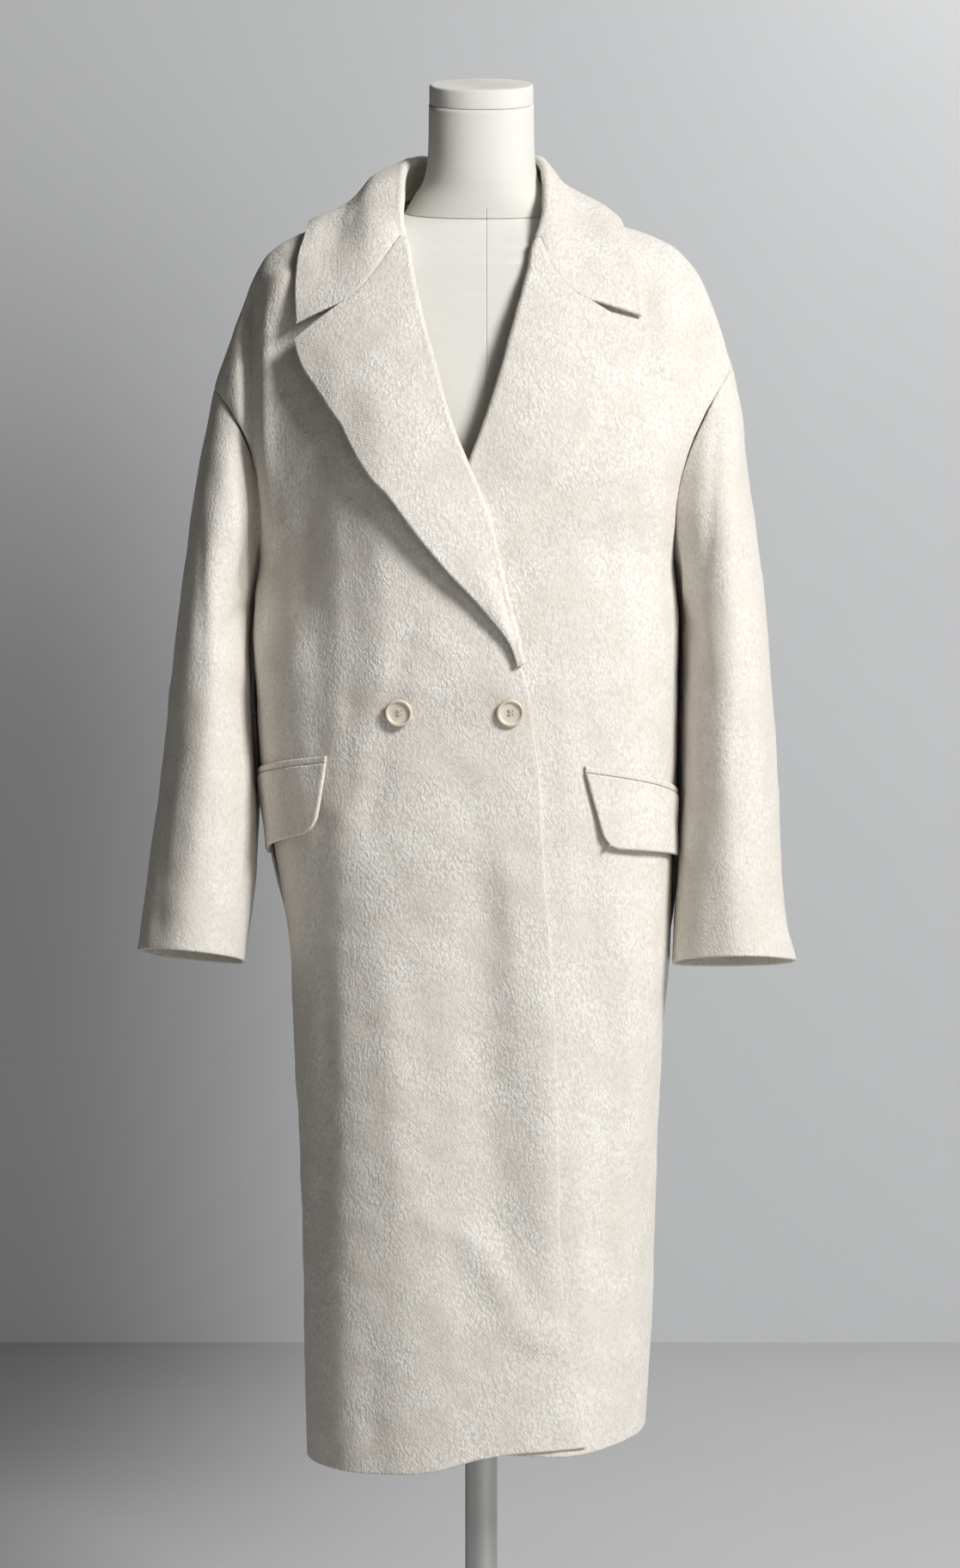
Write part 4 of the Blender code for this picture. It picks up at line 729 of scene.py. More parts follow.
def ring_faces(number):
    """Faces between rings of vertex numbers, lowest ring first, with both end rings closed by quads."""
    looped = np.concatenate((number, number[:, :1]), axis=1)
    faces = [quads(looped[:-1, :-1], looped[:-1, 1:], looped[1:, 1:], looped[1:, :-1])]
    half = number.shape[1] // 2
    for ring, order in ((number[0], -1), (number[-1], 1)):
        near, over = ring[:half], ring[half:][::-1]
        faces.append(quads(near[:-1], near[1:], over[1:], over[:-1])[:, ::order])
    return np.concatenate(faces)


def turned(name, rings, finish):
    """A closed solid from rings of points, lowest first, each anticlockwise seen from above."""
    low, high = rings[0].mean(axis=0), rings[-1].mean(axis=0)
    shrink = np.array(END_SHARES)[:, None, None]
    bottom = (low + (rings[0] - low) * shrink)[::-1]
    top = high + (rings[-1] - high) * shrink
    rings = np.concatenate((bottom, rings, top))
    number = np.arange(rings.size // 3).reshape(rings.shape[:2])
    return mesh_object(name, rings.reshape(-1, 3), ring_faces(number), finish)


# ------------------------------------------------------------------------------------ fronts and back
def even_lines(step):
    """Level lines at even steps up the middle of the front: by height below the underarm, by length above."""
    turn = np.linspace(0, 1, LINE_SAMPLES)
    size = level(2 - turn)
    run = np.concatenate(([0.0], np.cumsum(np.hypot(np.diff(size["height"]), np.diff(size["front"])))))
    turns = np.interp(np.linspace(0, run[-1], count(run[-1], step)), run, turn)
    low = np.linspace(0, 1, count(UNDERARM - HEM, step))
    return np.concatenate((low, 2 - turns[-2::-1]))[:, None]


def spread(start, end, way, square):
    """Shares of the half width from one share (way 0) to another (way 1), by the superellipse's angle."""
    def angle(share):
        inward = np.clip(1 - np.abs(share) ** square, 0, 1) ** (1 / square)
        return np.arctan2(share, inward)
    turn = angle(start) + (angle(end) - angle(start)) * way
    sine, cosine = np.sin(turn), np.cos(turn)
    return sine / (np.abs(sine) ** square + np.abs(cosine) ** square) ** (1 / square)


def end_share(side, lines):
    """The share of the half width at which each level line meets a front's end."""
    def past_end(across):
        x, _, z = shell(lines, across, FRONT)
        return x > front_line(side, z)
    return search(np.full(lines.shape, -1.0), np.full(lines.shape, 1.0), past_end)


def creased(grid, rows):
    """A panel's grid with its creases added along the outward direction."""
    return grid + grid_normals(grid) * furrows(rows, grid[..., 0], grid[..., 2])[..., None]


def front_panel(side, name):
    """One front, from its front edge, roll line and neckline to the side seam and the armhole."""
    lines = even_lines(CLOTH_STEP)
    start, end = end_share(side, lines), np.full(lines.shape, float(side))
    across = spread(start, end, np.linspace(0, 1, count(FRONT_RUN, CLOTH_STEP)), level(lines)["square"])
    grid = dressed(side, *shell(lines, across, FRONT), FRONT)
    if side == RIGHT:
        grid = grid[:, ::-1]
    grid = relaxed(grid, count(UNDERARM - HEM, CLOTH_STEP) - 1)
    grid = tucked(creased(grid, CREASES[side]), TUCKS[side], SHARED)
    first, last = (SEAM, FREE) if side == RIGHT else (FREE, SEAM)
    return cloth(name, grid, WALL, WOOL, high=SEAM, first=first, last=last, uneven=0.00035, seed=5 + side)


def back_panel(name):
    """The back, in one piece from side seam to side seam; its middle columns meet the neckline.

    Below the shoulders its columns stand at even angles; towards the shoulder seam they move to even steps
    along the two seams, and round the neckline between them.
    """
    lines = even_lines(BACK_STEP)
    seam_columns, neck_columns = count(SEAM_RUN, BACK_STEP), count(NECK_RUN, BACK_STEP)
    bend = np.linspace(0, math.pi, neck_columns)
    neck_x = NECK_X + NECK_HALF * np.cos(bend)
    neck_share = neck_x / np.where(neck_x < 0, ARMHOLE[RIGHT]["top_x"], ARMHOLE[LEFT]["top_x"])
    along = np.linspace(0, 1, seam_columns, endpoint=False)
    left, right = (end + (share - end) * along for end, share in ((1, neck_share[0]), (-1, neck_share[-1])))
    top = np.concatenate((left, neck_share, right[::-1]))
    ends = np.ones(lines.shape)
    even = spread(ends, -ends, np.linspace(0, 1, len(top)), level(lines)["square"])
    weight = ease(lines, *BACK_GATHER)
    across = even * (1 - weight) + top * weight
    grid = dressed(WHOLE, *shell(lines, across, BACK), BACK)
    grid = creased(relaxed(grid, count(UNDERARM - HEM, BACK_STEP) - 1), CREASES[WHOLE])
    return cloth(name, grid, WALL, WOOL, high=SEAM, first=SEAM, last=SEAM, uneven=0.00040, seed=9)


# ------------------------------------------------------------------------------------ lapels and collar
def turned_height(share, clear):
    """Height of a turned-back piece's outer face over the front, from its roll to its free edge."""
    return (2 * ROLL - WALL) * (1 - share) + (FACED + clear) * share


ENDS = {}                    # each front's end, kept once it has been worked out


def front_end(side, heights):
    """Points of a front's end at some heights, between its level lines."""
    if side not in ENDS:
        lines = even_lines(CLOTH_STEP)
        ENDS[side] = dressed(side, *shell(lines, end_share(side, lines), FRONT), FRONT)[:, 0]
    end = ENDS[side]
    return points(*(np.interp(heights, end[:, 2], end[:, axis]) for axis in range(3)))


def rolled(side, heights, steps):
    """Half circles round the roll line at some heights, from behind the front's end to over the front."""
    start = front_end(side, heights)
    out = front_normal(side, start[:, 0], heights)
    opening = unit(side * np.cross(out, start - front_end(side, heights - ROLL_REACH)))
    centre = start + opening * ROLL_CLEAR + out * (ROLL - WALL)
    turn = np.linspace(math.pi, 0, steps)[None, :, None]
    facing = out[:, None] * np.cos(turn) + opening[:, None] * np.sin(turn)
    return centre[:, None] + ROLL * facing, facing


def gorge_line(side, share, key):
    """The gorge: a curve up to the notch, and a straight edge beyond it."""
    seam = GORGE_SEAM[side]
    notch = seam["share"][-2]
    curve = smooth(share, seam["share"][:-1], seam[key][:-1])
    return np.where(share < notch, curve, np.interp(share, seam["share"], seam[key]))


def gorge_points(side, shift, share):
    """The collar's end: the gorge seam up to the notch, then the collar's own edge to its tip."""
    seam = GORGE_SEAM[side]
    roll_x = front_end(side, np.array([GORGE[side]]))[0, 0]
    x = gorge_line(side, share, "x") + (roll_x - seam["x"][0]) * (1 - share)
    z = gorge_line(side, share, "height") + shift
    notch = seam["share"][-2]
    beyond = np.clip((share - notch) / (1 - notch), 0, 1)
    notch_x = seam["x"][-2] + (roll_x - seam["x"][0]) * (1 - notch)
    notch_z = seam["height"][-2] + shift
    tip_x, tip_z = COLLAR_TIP[side]
    x = np.where(beyond > 0, notch_x + (tip_x - notch_x) * beyond, x)
    z = np.where(beyond > 0, notch_z + (tip_z - notch_z) * beyond, z)
    out = front_normal(side, x, z)
    height = turned_height(share, EDGE_CLEAR[side]) + LAPEL_CROWN[side] * np.sin(math.pi * share)
    return front_surface(side, x, z) + out * height[:, None], out


def lapel(side, name):
    """A lapel: half a circle round the roll line, then the front's points moved out, to the free edge.

    The height over the front is a straight line from the roll to the free edge plus the crown, a half sine.
    """
    roll_z = np.linspace(BREAK[side], GORGE[side] - GAP / 2, count(LAPEL_RUN, FINE_STEP))
    way = (roll_z - roll_z[0]) / (roll_z[-1] - roll_z[0])
    roll_x = front_end(side, roll_z)[:, 0]
    arc, _ = rolled(side, roll_z, ROLL_POINTS)
    edge_x, edge_z = by_length(LAPEL_EDGE[side], "x", way)
    share = np.linspace(0, 1, count(LAPEL_ACROSS, FINE_STEP))[None, 1:]
    near_gorge = (way ** GORGE_HOLD)[:, None]
    seam, notch = GORGE_SEAM[side], GORGE_SEAM[side]["share"][-2]
    bow_x, bow_z = (gorge_line(side, share, key) - seam[key][0] - (seam[key][-1] - seam[key][0]) * share
                    for key in ("x", "height"))
    x = roll_x[:, None] * (1 - share) + edge_x[:, None] * share + near_gorge * bow_x
    z = roll_z[:, None] * (1 - share) + edge_z[:, None] * share + near_gorge * (bow_z - GAP / 2)
    out = front_normal(side, x, z)
    crown = LAPEL_CROWN[side] * np.sin(math.pi * share) * ease(way, 0, LAPEL_FLAT)[:, None]
    lift = LAPEL_LIFT[side] * share ** 2 * np.sin(math.pi * way)[:, None] ** LAPEL_LIFT_POWER
    height = turned_height(share, EDGE_CLEAR[side]) + crown + lift
    grid = np.concatenate((arc, front_surface(side, x, z) + out * height[..., None]), axis=1)

    seamed = np.where(np.concatenate((np.zeros(ROLL_POINTS), share[0])) < notch, SEAM, FREE)
    return cloth(name, grid[:, ::side], FACED, FACING, high=seamed[::side], uneven=0.00030, seed=21 + side)


def neck_seam(side, way):
    """The neckline's edge: up the front to the shoulder seam (way 0.5), then round the back."""
    top = front_end(side, np.array([YOKE["height"][0]]))[0, 2]
    front = front_end(side, GORGE[side] + (top - GORGE[side]) * np.clip(way / 0.5, 0, 1))
    bend = np.clip((way - 0.5) / 0.5, 0, 1) * math.pi / 2
    x = NECK_X + side * NECK_HALF * np.cos(bend)
    back = points(*shell(np.full(way.shape, 2.0), x / ARMHOLE[side]["top_x"], BACK))
    return np.where(way[:, None] > 0.5, back, front)


def collar_edge(way, x, z):
    """The collar's outer edge: points of the body, in front then behind, moved out."""
    rows = []
    for face in (FRONT, BACK):
        here = body_point(face, x, z)
        beside = body_point(face, x + SLIGHT, z) - body_point(face, x - SLIGHT, z)
        lower = here - body_point(face, x, z - SLIGHT)
        out = unit(-face * np.cross(beside, lower))
        rows.append(here + out * (FACED + COLLAR_LIFT))
    return np.where(way[:, None] > 0.5, rows[1], rows[0])


def collar(name):
    """The collar: its stand inside, the fold, and the fall that lies over the shoulders.

    Across, it is a straight stand tangent to the fold's circle, that circle, and a straight fall plus its
    crown.  Near each end the whole profile is moved onto the lapel's.
    """
    ways = count(COLLAR_RUN, FINE_STEP)
    way = np.linspace(0, 1, ways)
    share = np.linspace(0, 1, count(COLLAR_ACROSS, FINE_STEP))
    halves = []
    for side in (RIGHT, LEFT):
        seam = neck_seam(side, way)
        above = unit(points(0.0, seam[:, 1] / STAND_LEAN, 1.0))
        inward = unit(side * np.cross(above, np.gradient(seam, axis=0)))
        foot = seam + inward * (COLLAR_CLEAR + FACED) - above * WALL
        column = {key: smooth(way, COLLAR["way"], COLLAR[key]) for key in COLLAR if key != "way"}
        tilt = side * COLLAR_TILT * column["fold_x"] * ease(way, *COLLAR_TILTED)
        fold = points(COLLAR_X + side * column["fold_x"], column["fold_y"], column["fold_z"] + tilt)
        edge = collar_edge(way, side * column["right_x" if side == RIGHT else "left_x"],
                           column["right_z" if side == RIGHT else "left_z"])
        gorge, above = gorge_points(side, GAP, share)
        near = (np.clip(1 - way / COLLAR_NEAR, 0, 1) ** 2)[:, None]
        fold = fold + near * (gorge[0] - fold[0])
        edge = edge + near * (gorge[-1] - edge[0])
        start, _ = rolled(side, np.array([GORGE[side] + GAP]), STAND_POINTS + ROLL_POINTS)
        halves.append((foot, fold, edge, near, np.concatenate((start[0], gorge[1:]))))
    foot, fold, edge = (np.concatenate((right, left[-2::-1]))
                        for right, left in zip(halves[0][:3], halves[1][:3]))
    along = unit(np.gradient(fold, axis=0))
    out = unit(np.cross(along, edge - fold))
    inward = unit(-np.cross(out, along))
    centre = fold - out * ROLL
    reach = foot - centre
    to_foot = np.arctan2((reach * inward).sum(-1), (reach * out).sum(-1)) % (2 * math.pi)
    leave = to_foot - np.arccos(ROLL / np.linalg.norm(reach, axis=-1))
    turn = (leave * np.linspace(1, 0, ROLL_POINTS)[:, None])[..., None]
    arc = centre + ROLL * (out * np.cos(turn) + inward * np.sin(turn))
    rising = foot + (arc[0] - foot) * np.linspace(0, 1, STAND_POINTS + 1)[:-1, None, None]
    behind = ease(np.concatenate((way, way[-2::-1])), *COLLAR_BACK)
    crowns = {key: smooth(share[1:], CROWN["share"], CROWN[key])[:, None]
              for key in ("right", "left", "back")}
    sides = np.where(np.arange(len(fold)) < ways, crowns["right"], crowns["left"])
    crown = (sides * (1 - behind) + crowns["back"] * behind)[..., None]
    fall = fold + (edge - fold) * share[1:, None, None] + out * crown
    grid = np.concatenate((rising, arc, fall))
    hold = np.interp(np.arange(len(grid)), (STAND_POINTS, STAND_POINTS + ROLL_POINTS - 1), COLLAR_HOLD)
    for (_, _, _, near, start), first, chosen, order in zip(
            halves, (0, -1), (slice(0, ways), slice(ways - 1, None)), (1, -1)):
        shift = start - grid[:, first]
        grid[:, chosen] += shift[:, None] * near[::order][None] ** hold[:, None, None]
    seamed = [np.concatenate((np.zeros(len(rising) + ROLL_POINTS),
                              share[1:] > GORGE_SEAM[side]["share"][-2])) for side in (RIGHT, LEFT)]
    return cloth(name, grid, FACED, FACING, first=seamed[0], last=seamed[1], uneven=0.00035, seed=31)


# ------------------------------------------------------------------------------------ sleeves
def sleeve_creases(rows, turn, way):
    """Sum of a sleeve's creases: a bell curve across each one's line from its upper to its lower end."""
    girth, length = SLEEVE_AROUND, SLEEVE_RUN
    total = np.zeros(np.broadcast(turn, way).shape)
    for top_turn, top_way, low_turn, low_way, width, height in zip(*rows.values()):
        start = np.array((top_turn / 2 * girth, top_way * length))
        reach = np.array((low_turn / 2 * girth, low_way * length)) - start
        size = np.hypot(*reach)
        across = turn / 2 * girth - start[0]
        down = way * length - start[1]
        along = (across * reach[0] + down * reach[1]) / size ** 2
        beside = (across * reach[1] - down * reach[0]) / size
        fade = ease(along, *CREASE_END) * ease(1 - along, *CREASE_END)
        total = total + height * np.exp(-(beside / width) ** 2) * fade
    return total


def sleeve(side, name):
    """A sleeve: oval rings from the cuff up to the armhole.

    A ring is half an ellipse in front and half behind, between its outer and its inner side.
    """
    rows = SLEEVE[side]
    station = np.arange(len(rows["outer_x"]), dtype=float)
    at = np.linspace(station[-1], 0, count(SLEEVE_RUN, CLOTH_STEP))
    ring = {key: smooth(at, station, rows[key])[:, None] for key in rows}
    turns = np.linspace(0, 2, count(SLEEVE_AROUND, CLOTH_STEP), endpoint=False)
    cosine, sine = np.cos(math.pi * turns), np.sin(math.pi * turns)
    middle = (ring["front"] + ring["back"]) / 2
    middle = np.where(at[:, None] < 1, SIDE_Y + (middle - SIDE_Y) * ease(at[:, None], 0, 1), middle)
    depth = np.where(sine > 0, middle - ring["front"], ring["back"] - middle)
    x = (ring["outer_x"] * (1 + cosine) + ring["inner_x"] * (1 - cosine)) / 2 - ring["inset"] * sine ** 2
    y = middle - depth * sine
    z = (ring["outer_z"] * (1 + cosine) + ring["inner_z"] * (1 - cosine)) / 2
    z = z - CUFF_TILT * ease(at, *CUFF_TILTED)[:, None] * (y - middle)
    grid = points(side * x, y, z)
    lift = sleeve_creases(SLEEVE_CREASES[side], turns[None], at[:, None] / station[-1])
    if side == LEFT:
        grid, lift = grid[:, ::-1], lift[:, ::-1]
    grid = tucked(grid + grid_normals(grid, True) * lift[..., None], TUCKS[side])
    return cloth(name, grid, WALL, SLEEVE_WOOL, high=SEAM, around=True, uneven=0.00045, seed=41 + side)


# ------------------------------------------------------------------------------------ pockets and buttons
def pocket_grid(side, along, heights, lift):
    """A grid on the front's outer face at some heights and shares of the way from the flap's front edge."""
    flap = FLAP[side]
    line = (heights - HEM) / (UNDERARM - HEM)
    size = level(line)
    lean = flap["lean"] * np.clip((flap["top"] - heights) / flap["depth"], 0, 1)
    start = (np.abs(flap["x"]) + lean) / size[side]
    square = size["square"]
    sine, cosine = math.sin(flap["reach"]), math.cos(flap["reach"])
    end = sine / (sine ** square + cosine ** square) ** (1 / square)
    x, y, _ = shell(line, side * spread(start, end, along, square), FRONT)
    grid = points(x, y - furrows(FOLDS[FRONT], x, heights) - layer(side, x, heights) - GAP / 2, heights)
    grid, lift = grid[:, ::side], lift[:, ::side]
    return grid + grid_normals(grid) * lift[..., None]


def pocket(side, word):
    """A pocket's flap, rounded at its lower front corner and flared, and the welt above it.

    In the corner's square, with a and b the shares of its size left to the two edges, a point moves by
    a * (1 - sqrt(1 - b^2/2)) away from one edge and by b * (1 - sqrt(1 - a^2/2)) from the other.
    """
    flap = FLAP[side]
    length = FLAP_LENGTH * np.linspace(0, 1, count(FLAP_LENGTH, FINE_STEP))[None]
    rise = flap["depth"] * np.linspace(0, 1, count(flap["depth"], FINE_STEP))[:, None]
    beside, above = (np.clip(1 - run / FLAP_CORNER, 0, 1) for run in (length, rise))
    out, up = (length + FLAP_CORNER * beside * (1 - np.sqrt(1 - above ** 2 / 2)),
               rise + FLAP_CORNER * above * (1 - np.sqrt(1 - beside ** 2 / 2)))
    top = flap["top"] - flap["top_slope"] * out
    low = flap["top"] - flap["depth"] - flap["low_slope"] * out
    down = 1 - up / flap["depth"]
    flare = flap["flare"] * down ** 1.5 * (1 - (out / FLAP_LENGTH) ** 2 / 2)
    flap_grid = pocket_grid(side, out / FLAP_LENGTH, top - (top - low) * down, FLAP_CLEAR + FACED + flare)
    rise = WELT_HEIGHT * np.linspace(0, 1, count(WELT_HEIGHT, WELT_STEP))[:, None]
    heights = flap["top"] - flap["top_slope"] * length + GAP + rise
    welt_grid = pocket_grid(side, length / FLAP_LENGTH + 0 * rise, heights,
                            np.full(heights.shape, FLAP_CLEAR + WELT_THICK))
    return (cloth(f"flap_{word}_cloth", flap_grid, FACED, FACING, uneven=0.0003, seed=51 + side),
            cloth(f"welt_{word}_cloth", welt_grid, WELT_THICK, FACING))


# A button's upper face: height shares by share of the radius, over a flat underside.
BUTTON_FACE = table("radius height",
                    (0.00, 0.55), (0.62, 0.55), (0.70, 0.60), (0.76, 0.80), (0.82, 0.97), (0.88, 1.00),
                    (0.94, 0.95), (0.98, 0.80), (1.00, 0.55))
BUTTON_EDGE = np.array([(1.0, 0.30), (0.93, 0.06), (0.80, 0.0), (0.30, 0.0), (0.01, 0.0)])
HOLE_DEPTH = 0.44            # of the button's thickness
HOLE_SLOPE = (0.75, 1.15)    # shares of a hole's radius between which its wall rises
FACE_RINGS = (np.linspace(0.01, 0.34, 34), np.linspace(0.36, 1, 34))    # shares of the button's radius
BUTTON_COLUMNS = 96
# Shares of the button's thickness: where a bar of thread leaves its hole, how far it bows out, and where
# the shank begins.
THREAD_LOW = 0.50
THREAD_BOW = 0.20
SHANK_TOP = 0.10


def button_frame(x):
    """A button's centre on the right front, and its three directions: across, up and out."""
    where, height = np.array([x]), np.array([BUTTON_HEIGHT])
    out = front_normal(RIGHT, where, height)[0]
    centre = front_surface(RIGHT, where, height)[0] + out * BUTTON_CLEAR
    across = unit(np.cross((0, 0, 1), out))
    return centre, np.stack((across, np.cross(out, across), out))


def button(name, x):
    """A four-hole button with a raised round rim: a turned disc whose face sinks steeply at each hole."""
    centre, axes = button_frame(x)
    share = np.concatenate(FACE_RINGS)
    angle = np.linspace(0, 2 * math.pi, BUTTON_COLUMNS, endpoint=False)
    radius = share[:, None] * BUTTON_RADIUS
    flat = np.stack((radius * np.cos(angle), radius * np.sin(angle)), axis=-1)
    height = BUTTON_THICK * smooth(share, BUTTON_FACE["radius"], BUTTON_FACE["height"])[:, None]
    hole = np.zeros(flat.shape[:2])
    for way in ((-1, -1), (1, -1), (1, 1), (-1, 1)):
        from_hole = np.linalg.norm(flat - np.array(way) * BUTTON_HOLE_SPACING, axis=-1)
        hole = np.maximum(hole, 1 - ease(from_hole / BUTTON_HOLE, *HOLE_SLOPE))
    height = height - hole * BUTTON_THICK * HOLE_DEPTH
    face = np.concatenate((flat, height[..., None]), axis=-1)[::-1]
    rim, low = BUTTON_EDGE[::-1, :1] * BUTTON_RADIUS, BUTTON_EDGE[::-1, 1:] * BUTTON_THICK
    under = points(rim * np.cos(angle), rim * np.sin(angle), low + 0 * angle)
    rings = np.concatenate((under, face)) @ axes + centre
    return turned(name, rings, IVORY)


def strand(path, radius, sides=8):
    """A round strand along a path: rings of points square to its direction."""
    along = unit(np.gradient(path, axis=0))
    aside = unit(np.cross(along, (0.3, 0.2, 0.93)))
    other = np.cross(along, aside)
    angle = np.linspace(0, 2 * math.pi, sides, endpoint=False)[None, :, None]
    return path[:, None] + radius * (aside[:, None] * np.cos(angle) + other[:, None] * np.sin(angle))


def button_thread(name, x):
    """The sewing thread: two bars over the face from hole to hole, and the shank under the button."""
    centre, axes = button_frame(x)
    turn = np.linspace(0, math.pi, 14)
    across = -np.cos(turn) * BUTTON_HOLE_SPACING
    height = BUTTON_THICK * (THREAD_LOW + THREAD_BOW * np.sin(turn))
    parts = [strand(points(across, up * BUTTON_HOLE_SPACING, height), THREAD) for up in (-1, 1)]
    drop = np.linspace(BUTTON_THICK * SHANK_TOP, -BUTTON_CLEAR - THREAD, 6)
    parts.append(strand(points(0.0, 0 * drop, drop), 3 * THREAD))
    faces, total = [], 0
    for rings in parts:
        number = np.arange(rings.size // 3).reshape(rings.shape[:2]) + total
        faces.append(ring_faces(number))
        total += number.size
    vertices = np.concatenate([rings.reshape(-1, 3) for rings in parts])
    return mesh_object(name, vertices @ axes + centre, np.concatenate(faces), THREAD_YARN)


# ------------------------------------------------------------------------------------ dress form and stand
def oval(half, front, back, height, front_slope=0.0, back_slope=0.0):
    """Rings of a rounded outline: a superellipse with its own front and back depth, and slope."""
    angle = np.linspace(0, 2 * math.pi, FORM_COLUMNS, endpoint=False)
    cosine, sine = np.cos(angle), np.sin(angle)
    scale = (np.abs(cosine) ** FORM_SQUARE + np.abs(sine) ** FORM_SQUARE) ** (-1 / FORM_SQUARE)
    half, front, back, height, front_slope, back_slope = (
        np.asarray(v, float).reshape(-1, 1) for v in (half, front, back, height, front_slope, back_slope))
    y = np.where(sine > 0, back, front) * sine * scale
    return points(half * cosine * scale, y, height + np.where(sine > 0, back_slope, front_slope) * y)


def neck_slope(height):
    """How far the torso's rings slope down to the front, fully at the foot of the neck."""
    return NECK_SLOPE * ease(height, *NECK_FOOT)


def under_cloth(rings):
    """Rings of the torso, kept inside the fronts and the back."""
    x, y, z = np.moveaxis(rings, -1, 0)
    limits = [np.maximum(face * body_point(face, x, z + WALL + SEAT)[..., 1] - WALL - SEAT, 0)
              for face in (FRONT, BACK)]
    covered = ease(np.abs(x), *FORM_COVERED)
    kept = np.clip(y, -limits[0], limits[1])
    return points(x, y + (kept - y) * covered, z)


def between_rows(rows, number):
    """A table with 'number' steps from each of its rows to the next, and its own rows kept."""
    knots = np.arange(len(rows["height"]), dtype=float)
    at = np.linspace(0, knots[-1], (len(knots) - 1) * number + 1)
    return {name: smooth(at, knots, values) for name, values in rows.items()}


def dress_form():
    """Torso, neck and neck cap; the coat's shoulders rest on the torso's."""
    body = between_rows(FORM, 5)
    width = FORM_SHOULDER["half"]
    line = np.full(width.shape, 2.0)
    seams = [shell(line, side * width / ARMHOLE[side]["top_x"], FRONT)[2] for side in (RIGHT, LEFT)]
    shoulder = dict(FORM_SHOULDER, height=np.minimum(*seams) - WALL - 2 * SEAT)
    bare = {key: np.concatenate((shoulder[key], values)) for key, values in FORM_BARE.items()}
    bare = between_rows(bare, 5)
    lower, upper = (oval(rows["half"], rows["front"], rows["back"], rows["height"],
                         neck_slope(rows["height"])) for rows in (body, bare))
    rings = np.concatenate((lower[:-1], upper))
    torso = turned("form_torso_cover", under_cloth(rings), TORSO_LINEN)
    tube = between_rows(FORM_NECK, 12)
    neck = turned("form_neck_cover", oval(tube["half"], tube["front"], tube["back"], tube["height"],
                                          NECK_SLOPE, NECK_SLOPE * ease(tube["height"], *NECK_TOP)),
                  NECK_LINEN)
    turn = np.linspace(0, math.pi / 2, 7)
    low = FORM_NECK["height"][-1] + GAP
    round_low = CAP_ROUND * 0.5
    radius = CAP_RADIUS - np.concatenate((round_low * (1 - np.sin(turn)), CAP_ROUND * (1 - np.cos(turn))))
    height = np.concatenate((low + round_low * (1 - np.cos(turn)), CAP_TOP - CAP_ROUND * (1 - np.sin(turn))))
    cap = turned("form_cap_cover", oval(radius, radius, radius, height, NECK_SLOPE, NECK_SLOPE), NECK_LINEN)
    return torso, neck, cap


def stand():
    """The pole under the torso, and the round base that it stands on, its upper edge turned round."""
    pole = np.linspace(BASE_THICK + GAP, FORM["height"][0] - GAP, 12)
    shaft = turned("pole_finish", oval(POLE_RADIUS, POLE_RADIUS, POLE_RADIUS, pole), STEEL)
    turn = np.linspace(0, math.pi / 2, 8)
    top = np.linspace(BASE_RADIUS - 2 * BASE_ROUND, 2 * POLE_RADIUS, 10)
    radius = np.concatenate(([BASE_RADIUS - BASE_FOOT, BASE_RADIUS],
                             BASE_RADIUS - BASE_ROUND * (1 - np.cos(turn)), top))
    height = np.concatenate(([0.0, BASE_FOOT], BASE_THICK - BASE_ROUND * (1 - np.sin(turn)),
                             np.full(len(top), BASE_THICK)))
    plate = turned("base_finish", oval(radius, radius, radius, height), STEEL)
    return shaft, plate


# ------------------------------------------------------------------------------------ finishes
class Sheet:
    """A node tree being drawn: short calls that add a node, set its values and link its inputs."""

    def __init__(self, tree):
        self.tree = tree

    def node(self, kind, settings=None, **inputs):
        """A node; an input goes by its name, or by 'at' and its number, and takes a socket or a value."""
        made = self.tree.nodes.new(kind)
        for key, value in (settings or {}).items():
            setattr(made, key, value)
        for key, value in inputs.items():
            socket = made.inputs[int(key[2:]) if key.startswith("at") else key.replace("_", " ")]
            if isinstance(value, bpy.types.NodeSocket):
                self.tree.links.new(value, socket)
            else:
                socket.default_value = value
        return made

    def place(self):
        """Points in the object's own space, in metres."""
        return self.node("ShaderNodeTexCoord").outputs["Object"]

    def split(self, vector):
        """A vector's X, Y and Z."""
        return self.node("ShaderNodeSeparateXYZ", None, Vector=vector).outputs

    def math(self, operation, *values):
        inputs = {f"at{i}": value for i, value in enumerate(values)}
        return self.node("ShaderNodeMath", dict(operation=operation), **inputs).outputs[0]

    def total(self, first, *others):
        """The sum of two or more values."""
        for other in others:
            first = self.math("ADD", first, other)
        return first

    def product(self, first, *others):
        """The product of two or more values."""
        for other in others:
            first = self.math("MULTIPLY", first, other)
        return first

    def noise(self, where, scale, detail=2.0, roughness=0.5):
        return self.node("ShaderNodeTexNoise", None, Vector=where, Scale=scale, Detail=detail,
                         Roughness=roughness).outputs["Fac"]

    def blend(self, share, first, second):
        """A colour between two, each of them a socket or red, green and blue."""
        first, second = ((*end, 1.0) if isinstance(end, tuple) else end for end in (first, second))
        return self.node("ShaderNodeMix", dict(data_type="RGBA"), at0=share, at6=first, at7=second).outputs[2]

    def span(self, value, low, high, to_low=0.0, to_high=1.0, curve="LINEAR"):
        """A value's range moved to another range, and held at its ends."""
        return self.node("ShaderNodeMapRange", dict(clamp=True, interpolation_type=curve), at0=value, at1=low,
                         at2=high, at3=to_low, at4=to_high).outputs[0]


